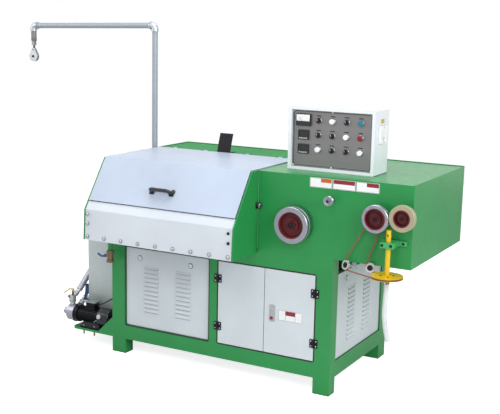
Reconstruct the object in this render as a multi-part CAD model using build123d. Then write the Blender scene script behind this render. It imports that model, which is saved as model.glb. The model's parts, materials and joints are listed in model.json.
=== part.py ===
from build123d import *
from math import asin, atan2, cos, degrees, pi, radians, sin, sqrt, tan
import os

# Wire drawing machine, millimetres. X runs along the front from the left leg,
# Y runs to the back from the front face, Z is up from the floor.

# Base frame
frame_length = 1392
frame_depth = 795
leg_width = 94
front_leg_depth = 72
rear_leg_depth = 95
rail_bottom = 87
rail_height = 87
rail_depth = 50
top_rail_bottom = 641
post_left = 654
post_width = 58
post_depth = 40

# Upper housing
housing_bottom = 738
housing_top = 1157
housing_overhang = 414
housing_right = frame_length + housing_overhang
housing_back = 808
housing_edge = 3
back_lip = 4
side_lip = 2

# Hood over the drawing chamber
hood_right = 950
hood_depth = 480
hood_plate = 8
hood_bottom = 718
hood_front = 263
hood_kink_y = 253
hood_kink_z = 888
hood_fold_y = 67
hood_skin = 3
hood_skin_setback = 2
cover_top_z = 931
lid_gap = 5
lid_side_gap = 4
lid_lift = 5
lid_open = 105
lid_knuckle_radius = 4.2
chamber_wall = 4
chamber_front_gap = 24
chamber_wall_top = 878
cover_return = 20

# Doors, panels and their hardware
panel_recess = 8
panel_depth = 18
sheet = 2
panel_gap = 3
door_depth = 20
door_seam_share = 0.4923
door_open = 110
hinge_size = 45
hinge_leaf = 3
hinge_pin_radius = 2.5
hinge_knuckle_radius = 5
hinge_inset = 96
running_fit = 0.05
seat_gap = 0.3
louvre_width = 98
louvre_pitch = 25.5
louvre_height = 14
louvre_proud = 6
louvre_slot = 5
louvre_wall = 1.4
louvre_rounding = 3
front_louvres = 11
side_louvres = 12

# Wheels on the front plate
capstan_x = 1176
capstan_z = 900
capstan_radius = 96
capstan_hub_radius = 70
capstan_front = 67
pull_x = housing_right - 169
pull_z = 987
pull_radius = 70
pull_hub_radius = 52
press_radius = 66
press_hub_radius = 41
press_rise = 17
nip_gap = 2
pull_front = 80
pull_rim_width = 30
press_front = 80
press_rim_width = 30
bearing_depth = 10
bearing_wall = 16
wheel_shaft_radius = 17
roller_x = 1378
roller_z = 1047
roller_radius = 24
roller_width = 18
roller_front = 64
roller_axle_radius = 7

# Laying tube, its disc and the round belt
tube_top_z = 940
tube_radius = 12.5
tube_bore = 8.5
disc_radius = 80
disc_thickness = 13
disc_z = 706
belt_radius = 3
belt_plane = 26
belt_pulley_radius = 30
left_corner_x = pull_x - 194
right_corner_x = pull_x - 68
idler_radius = 24
idler_width = 14
idler_groove = 4
idler_axle_radius = 4
belt_clearance = 0.3
clamp_z = 867
clamp_height = 28
clamp_front = 92
clamp_width = 70
clamp_wall = 12
clamp_ear = 40
idler_lug_reach = 56
second_lug_reach = 42
hose_radius = 12.5
hose_length = 300

# Control box
control_left = 1043
control_width = 487
control_front = 147
control_depth = 188
control_height = 334
control_lip = 17
control_recess = 22
control_plate_thickness = 3
handle_reach = 62
handle_rise = 34
control_columns = 4
control_rows = 3
control_pitch_x = 79
control_pitch_z = 75.5
control_first_x = 166
control_first_z = 264
button_radius = 13
bezel_radius = 15.5
socket_width = 86
socket_height = 92

# Overhead guide
pipe_radius = 16.85
pipe_bore = 13.6
pole_y = hood_depth - 15
pole_clearance = 5
pole_bottom = 790
boom_z = 1886
boom_reach = 937
boom_dip = 1.1
elbow_radius = 23
elbow_reach = 34
drop_length = 72
sheave_radius = 26
sheave_width = 12
cheek_thickness = 4
link_length = 52
block_swing = 25

# Coolant unit on the left
platform_length = 300
platform_depth = 500
platform_thickness = 13
platform_radius = 30
tank_length = 264
tank_front = 132
tank_depth = 330
tank_height = 600
tank_gap = 16
motor_y = 70
motor_radius = 50
motor_height = 64
motor_length = 160
fan_cover_radius = 58
fan_cover_length = 76
motor_right = 50
head_radius = 50
head_length = 84
adapter_length = 26
drain_x = 31
drain_y = 60
drain_radius = 13
drain_top = 621
valve_length = 70
valve_radius = 17
coolant_pipe_radius = 14
gusset_reach = 105
gusset_thickness = 5
cable_radius = 4


# Derived places
rail_top = rail_bottom + rail_height
rear_leg_front = frame_depth - rear_leg_depth
right_leg_left = frame_length - leg_width
post_right = post_left + post_width
door_seam_x = post_right + door_seam_share * (right_leg_left - post_right)
hood_fold_z = housing_top
slope_run = hood_kink_y - hood_fold_y
slope_rise = hood_fold_z - hood_kink_z
slope_length = sqrt(slope_run ** 2 + slope_rise ** 2)
slope_angle = degrees(atan2(slope_rise, slope_run))
tube_x = pull_x + pull_radius + nip_gap / 2
tube_y = -(pull_front - pull_rim_width / 2)
press_x = pull_x + sqrt((pull_radius + press_radius + nip_gap) ** 2 - press_rise ** 2)
press_z = pull_z + press_rise
control_bottom = housing_top
control_back = control_front + control_depth
pole_x = -(pipe_radius + pole_clearance)
platform_top = rail_bottom + platform_thickness
tank_left = -(tank_gap + tank_length)
motor_z = platform_top + motor_height
lid_axis_y = hood_depth + 2
lid_axis_z = housing_top + lid_knuckle_radius + seat_gap
left_hinge_x = post_right + panel_gap / 2
right_hinge_x = right_leg_left - panel_gap / 2
hinge_axis_y = -hinge_knuckle_radius - 0.5


parts = {}


def keep(name, *solids):
    """One named piece: a single solid, or like solids that do not touch."""
    made = [s for shape in solids for s in shape.solids()]
    parts[name] = made[0] if len(made) == 1 else Compound(made)


def block(x0, x1, y0, y1, z0, z1):
    box = Box(x1 - x0, y1 - y0, z1 - z0)
    return Pos((x0 + x1) / 2, (y0 + y1) / 2, (z0 + z1) / 2) * box


def side_profile(points, x0, x1):
    """A Y-Z outline given as (y, z), extruded from x0 to x1."""
    outline = Plane.YZ * Polyline(*points, close=True)
    return Pos(x0, 0, 0) * extrude(make_face(outline), amount=x1 - x0, dir=(1, 0, 0))


def turned(points, x, z):
    """A profile of (radius, y) turned about the line along Y through x, z."""
    outline = Polyline(*points, close=True)
    return Pos(x, 0, z) * revolve(make_face(outline), Axis.Y)


def rod(start, end, radius):
    start, end = Vector(*start), Vector(*end)
    axis = end - start
    return extrude(Plane(start, z_dir=axis) * Circle(radius), amount=axis.length)


def pipe_run(points, bends, radius, bore=0):
    """A round pipe along straight runs joined by tangent bends."""
    path = FilletPolyline(*points, radius=bends)
    start = Plane(path @ 0, z_dir=path % 0)
    section = start * Circle(radius)
    if bore:
        section -= start * Circle(bore)
    return sweep(section, path=path)


def pan(x0, x1, z0, z1, depth):
    """A folded sheet panel, face at y = 0, with its edges turned back."""
    outer = block(x0, x1, 0, depth, z0, z1)
    edges = outer.edges().filter_by(Axis.Y)
    outer = fillet(edges, sheet)
    inner = block(x0 + sheet, x1 - sheet, sheet, depth + 1, z0 + sheet, z1 - sheet)
    return outer - inner


def louvre(x):
    """One pressed louvre: a hood standing off the sheet, open below."""
    half = louvre_height / 2
    x0, x1 = x - louvre_width / 2, x + louvre_width / 2
    hood = side_profile([(0, half), (-louvre_proud, -half + 3), (-louvre_proud, -half), (0, -half)], x0, x1)
    ends = [e for e in hood.edges() if abs(abs(e.center().X - x) - louvre_width / 2) < 0.01]
    ends = [e for e in ends if e.center().Y < -0.1 and e.center().Z > -half + 0.1]
    hood = fillet(ends, louvre_rounding)
    slot = side_profile(
        [
            (sheet + 1, half - 2 * louvre_wall),
            (0, half - 2 * louvre_wall),
            (louvre_wall - louvre_proud, -half + 3),
            (louvre_wall - louvre_proud, -half - 1),
            (0, -half - 1),
            (0, -half),
            (sheet + 1, -half),
        ],
        x0 + louvre_wall,
        x1 - louvre_wall,
    )
    return hood, slot


def vent_panel(x0, x1, z0, z1, columns, top, count):
    panel = pan(x0, x1, z0, z1, panel_depth)
    for x in columns:
        hood, slot = louvre(x)
        for i in range(count):
            panel = panel + Pos(0, 0, top - i * louvre_pitch) * hood - Pos(0, 0, top - i * louvre_pitch) * slot
    return panel


def base_frame():
    right = frame_length
    keep(
        "legs",
        block(0, leg_width, 0, front_leg_depth, 0, housing_bottom),
        block(right_leg_left, right, 0, front_leg_depth, 0, housing_bottom),
        block(0, leg_width, rear_leg_front, frame_depth, 0, housing_bottom),
        block(right_leg_left, right, rear_leg_front, frame_depth, 0, housing_bottom),
    )
    back = frame_depth
    left_bay, right_bay = (leg_width, post_left), (post_right, right_leg_left)
    side_bay = (front_leg_depth, rear_leg_front)
    front_rail = block(leg_width, right_leg_left, 0, rail_depth, rail_bottom, rail_top)
    rear_rail = Pos(0, back - rail_depth, 0) * front_rail
    left_rail = block(0, rail_depth, *side_bay, rail_bottom, rail_top)
    right_rail = Pos(right - rail_depth, 0, 0) * left_rail
    for bay in (left_bay, right_bay):
        rear_rail += seats(*bay, lambda a, b: block(a, b, back - 22, back - 12, rail_top - 1, rail_top + panel_gap))
    front_rail += seats(*left_bay, lambda a, b: block(a, b, 12, 22, rail_top - 1, rail_top + panel_gap))
    left_rail += seats(*side_bay, lambda a, b: block(12, 22, a, b, rail_top - 1, rail_top + panel_gap))
    right_rail += seats(
        *side_bay, lambda a, b: block(right - 22, right - 12, a, b, rail_top - 1, rail_top + panel_gap)
    )
    top_front = block(leg_width, right_leg_left, 0, rail_depth, top_rail_bottom, housing_bottom)
    keep(
        "rails",
        front_rail,
        rear_rail,
        left_rail,
        right_rail,
        top_front,
        Pos(0, back - rail_depth, 0) * top_front,
        block(0, rail_depth, *side_bay, top_rail_bottom, housing_bottom),
        block(post_left, post_right, 0, post_depth, rail_top, top_rail_bottom),
        block(post_left, post_right, back - post_depth, back, rail_top, top_rail_bottom),
    )
    floor = block(
        rail_depth, right - rail_depth, rail_depth, back - rail_depth, rail_top - sheet, rail_top
    )
    for x0, x1 in ((rail_depth - 1, leg_width), (right_leg_left, right - rail_depth + 1)):
        floor -= block(x0, x1, rail_depth - 1, front_leg_depth, rail_bottom, rail_top + 1)
        floor -= block(x0, x1, rear_leg_front, back - rail_depth + 1, rail_bottom, rail_top + 1)
    keep("cabinet_floor", floor)


def seats(low, high, pad):
    """Two pads that carry a panel's lower edge, a sixth of the bay in from its ends."""
    inset = (high - low) / 6
    return pad(low + inset, low + inset + 40) + pad(high - inset - 40, high - inset)


def panels():
    z0, z1 = rail_top + panel_gap, top_rail_bottom - panel_gap
    left, right = leg_width + panel_gap, post_left - panel_gap
    middle = (left + right) / 2
    column = louvre_width / 2 + 58
    front = vent_panel(
        left, right, z0, z1, (middle - column, middle + column), z1 - 103, front_louvres
    )
    front = Pos(0, panel_recess, 0) * front
    side_length = rear_leg_front - front_leg_depth - 2 * panel_gap
    side = vent_panel(
        -side_length / 2, side_length / 2, z0, z1, (-column, column), z1 - 100, side_louvres
    )
    side_middle = (front_leg_depth + rear_leg_front) / 2
    side = Pos(frame_length - panel_recess, side_middle, 0) * Rot(0, 0, 90) * side
    keep("vent_panels", front, side)
    left_side = Pos(panel_recess, side_middle, 0) * Rot(0, 0, -90) * pan(
        -side_length / 2, side_length / 2, z0, z1, panel_depth
    )
    back_y = frame_depth - panel_recess
    rear_left = pan(-right, -left, z0, z1, panel_depth)
    rear_right = pan(-right_leg_left + panel_gap, -post_right - panel_gap, z0, z1, panel_depth)
    turn = Pos(0, back_y, 0) * Rot(0, 0, 180)
    keep("plain_panels", left_side, turn * rear_left, turn * rear_right)
    keep("panel_latches", *[latch(x, z) for x, z in front_latches(left, right, z1)], side_latch(z1))


def latch(x, z):
    """A quarter-turn panel latch, its slotted head proud of the sheet."""
    y = panel_recess
    head = turned([(0, y), (13, y), (13, y - 2), (10, y - 4), (0, y - 4)], x, z)
    slot = block(x - 7, x + 7, y - 5, y - 2.4, z - 1.2, z + 1.2)
    return head - slot


def front_latches(left, right, z1):
    return (left + 94, z1 - 55), (right - 121, z1 - 55)


def side_latch(z1):
    return Pos(frame_length - panel_recess, front_leg_depth + 136, z1 - 42) * Rot(0, 0, 90) * (
        Pos(0, -panel_recess, 0) * latch(0, 0)
    )


def door(x0, x1):
    return pan(x0, x1, rail_top + panel_gap, top_rail_bottom - panel_gap, door_depth)


def door_leaf(hinge_x, z, toward):
    """The door's half of a butt hinge: the leaf on its face and the middle knuckle."""
    a, b = sorted((hinge_x + toward * hinge_knuckle_radius * 0.6, hinge_x + toward * hinge_size / 2))
    leaf = block(a, b, -hinge_leaf, 0, z - hinge_size / 2, z + hinge_size / 2)
    for side in (-1, 1):
        low, high = sorted((z + side * (hinge_size / 6 - 0.5), z + side * hinge_size))
        leaf -= block(hinge_x - 6, hinge_x + 6, -12, 0, low, high)
    leaf += Pos(hinge_x, hinge_axis_y, z) * Cylinder(hinge_knuckle_radius, hinge_size / 3 - 1)
    return leaf - Pos(hinge_x, hinge_axis_y, z) * Cylinder(hinge_pin_radius + running_fit, hinge_size)


def hinge_heights():
    return rail_top + panel_gap + hinge_inset, top_rail_bottom - panel_gap - hinge_inset


def fixed_hinge(x, z, away):
    """The frame's half of a butt hinge: leaf, outer knuckles and pin."""
    third = hinge_size / 3
    a, b = sorted((x + away * hinge_knuckle_radius * 0.6, x + away * hinge_size / 2))
    leaf = block(a, b, -hinge_leaf, 0, z - hinge_size / 2, z + hinge_size / 2)
    leaf -= block(x - 6, x + 6, -12, 1, z - third / 2, z + third / 2)
    for side in (-1, 1):
        leaf += Pos(x, hinge_axis_y, z + side * third) * Cylinder(hinge_knuckle_radius, third)
    return leaf + Pos(x, hinge_axis_y, z) * Cylinder(hinge_pin_radius, hinge_size)


def doors():
    gap = panel_gap / 2
    keep("left_door", door(post_right + panel_gap, door_seam_x - gap))
    keep("right_door", door(door_seam_x + gap, right_leg_left - panel_gap))
    keep("left_door_leaves", *[door_leaf(left_hinge_x, z, 1) for z in hinge_heights()])
    keep("right_door_leaves", *[door_leaf(right_hinge_x, z, -1) for z in hinge_heights()])
    keep(
        "door_hinges",
        *[fixed_hinge(left_hinge_x, z, -1) for z in hinge_heights()],
        *[fixed_hinge(right_hinge_x, z, 1) for z in hinge_heights()],
    )
    lock_x, lock_z = door_seam_x + 49, (rail_top + top_rail_bottom) / 2 - 8
    lock = block(lock_x - 16, lock_x + 16, -2.5, 0, lock_z - 45, lock_z + 45)
    lock = fillet(lock.edges().filter_by(Axis.Y), 5)
    lock += block(lock_x - 9, lock_x + 9, -6, -2.5, lock_z - 34, lock_z + 6)
    keep("door_lock", lock)


def slope_y(z, inset=0):
    """Y of the hood's sloping face at height z, moved inwards by inset."""
    y = -hood_kink_y + slope_run * (z - hood_kink_z) / slope_rise
    return y + inset / sin(radians(slope_angle))


def hood():
    wide = [
        (hood_depth, housing_bottom),
        (hood_depth, hood_fold_z),
        (-hood_fold_y, hood_fold_z),
        (-hood_kink_y, hood_kink_z),
        (-hood_front, hood_bottom),
        (0, hood_bottom),
        (0, housing_bottom),
    ]
    left = side_profile(wide, 0, hood_plate)
    right = side_profile(wide, hood_right - hood_plate, hood_right)
    clamps = [pole_saddle(z) for z in (pole_bottom + 40, housing_top - 60)]
    for saddle in clamps:
        left += saddle
    keep("hood_side_plates", left, right)
    x0, x1 = hood_plate, hood_right - hood_plate
    t, s = hood_skin, hood_skin_setback
    top = cover_top_z
    bend = tan(radians((90 - slope_angle) / 2))
    cover = side_profile(
        [
            (-hood_front + s, hood_bottom + 1),
            (-hood_kink_y + s, hood_kink_z - s * bend),
            (slope_y(top, s), top),
            (slope_y(top, s) + cover_return, top),
            (slope_y(top, s) + cover_return, top - t),
            (slope_y(top - t, s + t), top - t),
            (-hood_kink_y + s + t, hood_kink_z - (s + t) * bend),
            (-hood_front + s + t, hood_bottom + 1 + t),
            (0, hood_bottom + 1 + t),
            (0, hood_bottom + 1),
        ],
        x0,
        x1,
    )
    bend_edges = cover.edges().filter_by(Axis.X).filter_by(lambda e: abs(e.center().Z - hood_kink_z) < 6)
    cover = fillet(bend_edges.sort_by(Axis.Y)[0], 14)
    cover -= rod((drain_x, -drain_y, hood_bottom - 5), (drain_x, -drain_y, housing_bottom), drain_radius + 2)
    keep("hood_cover", cover)
    wall = chamber_wall
    front = -hood_front + chamber_front_gap
    tray = side_profile(
        [
            (front, chamber_wall_top),
            (front, housing_bottom + 3),
            (hood_depth, housing_bottom + 3),
            (hood_depth, housing_top - 3),
            (hood_depth - wall, housing_top - 3),
            (hood_depth - wall, housing_bottom + 3 + wall),
            (front + wall, housing_bottom + 3 + wall),
            (front + wall, chamber_wall_top),
        ],
        x0,
        x1,
    )
    keep("chamber_tray", tray)
    drain = rod((drain_x, -drain_y, housing_bottom + 3), (drain_x, -drain_y, drain_top), drain_radius)
    keep("drain_pipe", drain)


def pole_saddle(z):
    """A strap bracket that holds the pole against the left plate."""
    outer = pipe_radius + 5
    strap = Pos(pole_x, pole_y, z) * Cylinder(outer, 30)
    strap += block(pole_x, 0, pole_y - outer, pole_y + outer, z - 15, z + 15)
    return strap - Pos(pole_x, pole_y, z) * Cylinder(pipe_radius, 40)


def hood_lid():
    """The bent lid: a sloping front leaf and a flat top leaf in one sheet."""
    x0 = hood_plate + lid_side_gap
    x1 = hood_right - hood_plate - lid_side_gap
    t = hood_skin
    back = hood_depth - 4
    z_low = cover_top_z + lid_gap
    out = -lid_lift
    z_top = housing_top + lid_lift
    outer = [(slope_y(z_low, out), z_low), (slope_y(z_top, out), z_top), (back, z_top)]
    inner = [(back, z_top - t), (slope_y(z_top - t, out + t), z_top - t), (slope_y(z_low, out + t), z_low)]
    lid = side_profile(outer + inner, x0, x1)
    fold = lid.edges().filter_by(Axis.X).filter_by(lambda e: e.center().Z > z_top - 0.1).sort_by(Axis.Y)[0]
    lid = fillet(fold, 4)
    rib_depth = 14
    for x in (x0, x1 - t):
        outline = [
            (slope_y(z_low, out + t), z_low),
            (slope_y(z_top - t, out + t), z_top - t),
            (back - 12, z_top - t),
            (back - 12, z_top - t - rib_depth),
            (slope_y(z_top - t - rib_depth, out + t + rib_depth) , z_top - t - rib_depth),
            (slope_y(z_low, out + t + rib_depth), z_low),
        ]
        lid += side_profile(outline, x, x + t)
    for x in lid_hinge_places():
        lid += rod((x - 12, lid_axis_y, lid_axis_z), (x + 12, lid_axis_y, lid_axis_z), lid_knuckle_radius)
        lid += block(x - 12, x + 12, back - 2, lid_axis_y - 1, z_top - t, z_top)
        lid -= rod((x - 13, lid_axis_y, lid_axis_z), (x + 13, lid_axis_y, lid_axis_z), 2 + running_fit)
    keep("hood_lid", lid)
    keep("lid_hinges", *[lid_hinge(x) for x in lid_hinge_places()])


def lid_hinge_places():
    return [hood_right * share for share in (0.125, 0.35, 0.65, 0.875)]


def lid_hinge(x):
    r = lid_knuckle_radius
    base = block(x - 32, x + 32, lid_axis_y + r + 0.8, lid_axis_y + 26, housing_top, housing_top + 2)
    for side in (-1, 1):
        a = x + side * 12.5
        b = x + side * 32
        base += rod((a, lid_axis_y, lid_axis_z), (b, lid_axis_y, lid_axis_z), r)
        lo, hi = sorted((a, b))
        base += block(lo, hi, lid_axis_y, lid_axis_y + r + 2, housing_top, housing_top + 2)
    return base + rod((x - 32, lid_axis_y, lid_axis_z), (x + 32, lid_axis_y, lid_axis_z), 2)


def lid_handle():
    """A bridge handle standing on the sloping leaf."""
    z = 1012
    seat = Plane((460, slope_y(z, -lid_lift), z), x_dir=(1, 0, 0), z_dir=(0, -sin(radians(slope_angle)), cos(radians(slope_angle))))
    reach, rise = handle_reach, handle_rise
    path = FilletPolyline(
        (-reach, 0, 3.4), (-reach + 9, 0, rise), (reach - 9, 0, rise), (reach, 0, 3.4), radius=13
    )
    grip = sweep(Plane(path @ 0, z_dir=path % 0) * RectangleRounded(26, 15, 6), path=path)
    feet = [Pos(side * reach, 0, 2) * Box(28, 27, 4) for side in (-1, 1)]
    keep("lid_handle", seat * (grip + feet[0] + feet[1]))


def lid_rest():
    """A bent black strip that the open lid leans towards."""
    x0, x1 = 405, 492
    t = 4
    foot = hood_depth + 77
    z = housing_top
    y0 = lid_axis_y + 7
    kink = (y0 + 14, z + 48)
    tip = (y0 + 36, z + 112)
    outline = [(y0, z), kink, tip, (tip[0] + t, tip[1]), (kink[0] + t, kink[1]), (y0 + t + 1, z + t), (foot, z + t), (foot, z)]
    keep("lid_rest", side_profile(outline, x0, x1))


def housing():
    edge, top = housing_edge, housing_top
    right = block(hood_right, housing_right, 0, housing_back, housing_bottom, top + back_lip)
    right = chamfer(right.edges().filter_by(Axis.Z).filter_by(lambda e: e.center().X > hood_right + 1), 1.5)
    right -= block(hood_right - 1, housing_right - edge, -1, housing_back - edge, top, top + back_lip + 1)
    right -= block(housing_right - edge - 1, housing_right + 1, -1, housing_back - edge, top + side_lip, top + back_lip + 1)
    keep("right_housing", right)
    rear = block(0, hood_right, hood_depth, housing_back, housing_bottom, top + back_lip)
    rear -= block(edge, hood_right + 1, hood_depth - 1, housing_back - edge, top, top + back_lip + 1)
    keep("rear_housing", rear)
    x, y, z = hood_right, -18, 972
    guide = block(x, x + 4, y - 10, y + 14, z - 14, z + 14)
    guide += rod((x + 4, y, z + 6), (x + 12, y, z + 6), 7)
    guide += Pos(x + 18, y, z + 6) * Sphere(10)
    keep("wire_guide", guide - rod((x + 2, y, z + 6), (x + 40, y, z + 6), 2.5))


def rim(x, z, radius, inner, front, width, groove):
    """A wheel's rim with a shallow groove turned in its face."""
    mid = -front + width * 0.48
    return turned(
        [
            (inner, -front),
            (radius - 2, -front),
            (radius, -front + 2),
            (radius, mid - 3),
            (radius - groove, mid),
            (radius, mid + 3),
            (radius, -front + width - 2),
            (radius - 2, -front + width),
            (inner, -front + width),
        ],
        x,
        z,
    )


def hub(x, z, radius, front, width, pulley=0):
    """A dished hub with a raised boss, and its shaft back to the bearing."""
    r = radius
    f = -front
    shaft_end = -seat_gap
    points = [
        (0, f + 8),
        (0.2 * r, f + 8),
        (0.2 * r, f + 5),
        (0.33 * r, f + 5),
        (0.33 * r, f + 11),
        (0.46 * r, f + 11),
        (0.46 * r, f + 9),
        (0.53 * r, f + 9),
        (0.53 * r, f + 17),
        (0.8 * r, f + 17),
        (0.89 * r, f + 3),
        (r, f + 2),
        (r, f + width - 2),
        (0.6 * r, f + width - 2),
    ]
    if pulley:
        y = -belt_plane
        groove = pulley + belt_clearance
        points += [
            (0.6 * r, y - 9),
            (pulley + 5, y - 9),
            (pulley + 5, y - 6),
            (pulley - belt_radius - belt_clearance, y - 2.5),
            (pulley - belt_radius - belt_clearance, y + 2.5),
            (pulley + 5, y + 6),
            (pulley + 5, y + 9),
            (wheel_shaft_radius, y + 9),
        ]
    else:
        points += [(wheel_shaft_radius, f + width - 2)]
    points += [(wheel_shaft_radius, shaft_end), (0, shaft_end)]
    return turned(points, x, z)


def bearing(x, z):
    """A turned bearing flange on the front plate."""
    inner = wheel_shaft_radius + running_fit
    outer = wheel_shaft_radius + bearing_wall
    d = bearing_depth
    return turned([(inner, 0), (outer, 0), (outer, -d * 0.5), (outer - 5, -d), (inner, -d)], x, z)


def wheels():
    front, width = capstan_front, capstan_front - bearing_depth - 4
    keep("capstan_rim", rim(capstan_x, capstan_z, capstan_radius, capstan_hub_radius, front, width, 5))
    keep("capstan_hub", hub(capstan_x, capstan_z, capstan_hub_radius, front, width))
    keep("pull_wheel_rim", rim(pull_x, pull_z, pull_radius, pull_hub_radius, pull_front, pull_rim_width, 2))
    keep("pull_wheel_hub", hub(pull_x, pull_z, pull_hub_radius, pull_front, pull_rim_width, belt_pulley_radius))
    keep("press_wheel_rim", rim(press_x, press_z, press_radius, press_hub_radius, press_front, press_rim_width, 2))
    keep("press_wheel_hub", hub(press_x, press_z, press_hub_radius, press_front, press_rim_width))
    keep(
        "wheel_bearings",
        bearing(capstan_x, capstan_z),
        bearing(pull_x, pull_z),
        bearing(press_x, press_z),
    )
    f, w, r = roller_front, roller_width, roller_radius
    bore = roller_axle_radius + running_fit
    roller = [
        (bore, -f),
        (r - 8, -f),
        (r - 6, -f - 1.5),
        (r, -f - 1.5),
        (r, -f + 3),
        (r - 5, -f + w / 2),
        (r, -f + w - 3),
        (r, -f + w),
        (bore, -f + w),
    ]
    keep("guide_roller", turned(roller, roller_x, roller_z))


def roller_axle():
    f, w, a = roller_front, roller_width, roller_axle_radius
    axle = [
        (0, 0),
        (a + 5, 0),
        (a + 5, -8),
        (a + 1, -f + w + seat_gap),
        (a, -f + w + seat_gap),
        (a, -f - seat_gap),
        (a + 3, -f - seat_gap),
        (a + 2, -f - 6),
        (0, -f - 6),
    ]
    return turned(axle, roller_x, roller_z)


def belt_route():
    """Corners, tangents and idler frames of the belt's closed loop."""
    r_disc = disc_radius - belt_radius
    y, z = -belt_plane, disc_z
    left = Vector(left_corner_x, y, z)
    right = Vector(right_corner_x, y, z)
    pulley = Vector(pull_x, y, pull_z)
    disc = Vector(tube_x, tube_y, z)
    up_left, top_left = tangent_xz(left, pulley, belt_pulley_radius, 1)
    up_right, top_right = tangent_xz(right, pulley, belt_pulley_radius, -1)
    out_left, front = tangent_xy(left, disc, r_disc, -1)
    out_right, back = tangent_xy(right, disc, r_disc, 1)
    idler_r = idler_radius - idler_groove + belt_radius + belt_clearance
    first = idler_place(left, up_left, out_left, idler_r)
    second = idler_place(right, up_right, out_right, idler_r)
    return dict(
        pulley=pulley, disc=disc, top_left=top_left, top_right=top_right,
        front=front, back=back, first=first, second=second,
    )


def tangent_xz(point, centre, radius, side):
    """Direction and touching point of the line from point to a circle in X-Z."""
    d = centre - point
    distance = d.length
    turn = asin(radius / distance) * side
    reach = sqrt(distance ** 2 - radius ** 2) / distance
    x = (d.X * cos(turn) - d.Z * sin(turn)) * reach
    z = (d.X * sin(turn) + d.Z * cos(turn)) * reach
    step = Vector(x, 0, z)
    return step.normalized(), point + step


def tangent_xy(point, centre, radius, side):
    """Direction and touching point of the line from point to a circle in X-Y."""
    d = centre - point
    distance = d.length
    turn = asin(radius / distance) * side
    reach = sqrt(distance ** 2 - radius ** 2) / distance
    x = (d.X * cos(turn) - d.Y * sin(turn)) * reach
    y = (d.X * sin(turn) + d.Y * cos(turn)) * reach
    step = Vector(x, y, 0)
    return step.normalized(), point + step


def idler_place(corner, first, second, radius):
    """Where an idler of this radius rounds the corner between two directions."""
    half = radians(first.get_angle(second)) / 2
    inward = (first + second).normalized()
    centre = corner + inward * (radius / sin(half))
    axis = first.cross(second).normalized()
    if axis.Y > 0:
        axis = axis * -1
    reach = radius / tan(half)
    return dict(
        centre=centre, axis=axis, start=corner + first * reach, end=corner + second * reach,
        middle=centre - inward * radius,
    )


def belt():
    route = belt_route()
    first, second = route["first"], route["second"]
    pulley, disc = route["pulley"], route["disc"]
    over = pulley + Vector(0, 0, belt_pulley_radius)
    around = disc + Vector(disc_radius - belt_radius, 0, 0)
    loop = [
        ThreePointArc(route["top_left"], over, route["top_right"]),
        Line(route["top_right"], second["start"]),
        ThreePointArc(second["start"], second["middle"], second["end"]),
        Line(second["end"], route["back"]),
        ThreePointArc(route["back"], around, route["front"]),
        Line(route["front"], first["end"]),
        ThreePointArc(first["end"], first["middle"], first["start"]),
        Line(first["start"], route["top_left"]),
    ]
    pieces = []
    for run in loop:
        section = Plane(run @ 0, z_dir=run % 0) * Circle(belt_radius)
        pieces.append(sweep(section, path=run))
    ring = pieces[0]
    for piece in pieces[1:]:
        ring += piece
    keep("drive_belt", ring)


def idler(place):
    """A grooved idler on its own tilted axis, built about Z."""
    r, g, w = idler_radius, idler_groove, idler_width
    bore = idler_axle_radius + running_fit
    half = w / 2
    points = [
        (bore, -half),
        (r - 9, -half),
        (r - 8, -half - 1),
        (r, -half - 1),
        (r, -4.4),
        (r - g, -3.3),
        (r - g, 3.3),
        (r, 4.4),
        (r, half),
        (bore, half),
    ]
    wheel = revolve(make_face(Plane.XZ * Polyline(*points, close=True)), Axis.Z)
    return Plane(place["centre"], z_dir=place["axis"] * -1) * wheel


def idlers():
    route = belt_route()
    keep("left_idler", idler(route["first"]))
    keep("right_idler", idler(route["second"]))
    keep(
        "idler_axles",
        roller_axle(),
        idler_bracket(route["first"], idler_lug_reach),
        idler_bracket(route["second"], second_lug_reach),
    )


def idler_bracket(place, reach):
    """An axle pin fixed in a lug that hangs under the housing."""
    centre, back = place["centre"], place["axis"] * -1
    half = idler_width / 2
    head = rod(centre - back * (half + 5), centre - back * (half + seat_gap), 8)
    pin = rod(centre - back * (half + 4), centre + back * reach, idler_axle_radius)
    end = centre + back * reach
    lug = block(end.X - 11, end.X + 11, end.Y - 9, end.Y + 5, end.Z - 13, housing_bottom)
    collar_start = centre + back * (half + seat_gap)
    collar = rod(collar_start, centre + back * (reach - 12), idler_axle_radius + 1.5)
    return head + pin + collar + lug


def laying_gear():
    x, y = tube_x, tube_y
    disc_low, disc_high = disc_z - disc_thickness / 2, disc_z + disc_thickness / 2
    outer = Pos(x, y, (tube_top_z + disc_low) / 2) * Cylinder(tube_radius, tube_top_z - disc_low)
    bore = Pos(x, y, (tube_top_z + disc_low) / 2) * Cylinder(tube_bore, tube_top_z - disc_low + 2)
    tube = outer - bore
    tube -= rod((x, y - 40, tube_top_z - 28), (x, y, tube_top_z - 28), 4)
    keep("laying_tube", tube)
    r, g = disc_radius, 2 * belt_radius + belt_clearance
    inner = tube_radius
    low, high = -disc_thickness / 2, disc_thickness / 2
    outline = [
        (inner, low - 10),
        (inner + 9, low - 10),
        (inner + 9, low),
        (r, low),
        (r, -belt_radius - 1.4),
        (r - g, -belt_radius - 0.4),
        (r - g, belt_radius + 0.4),
        (r, belt_radius + 1.4),
        (r, high),
        (inner + 14, high),
        (inner + 14, high + 4),
        (inner, high + 4),
    ]
    disc = revolve(make_face(Plane.XZ * Polyline(*outline, close=True)), Axis.Z)
    keep("laying_disc", Pos(x, y, disc_z) * disc)
    clamp_bracket(x, y)
    hose()


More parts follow.
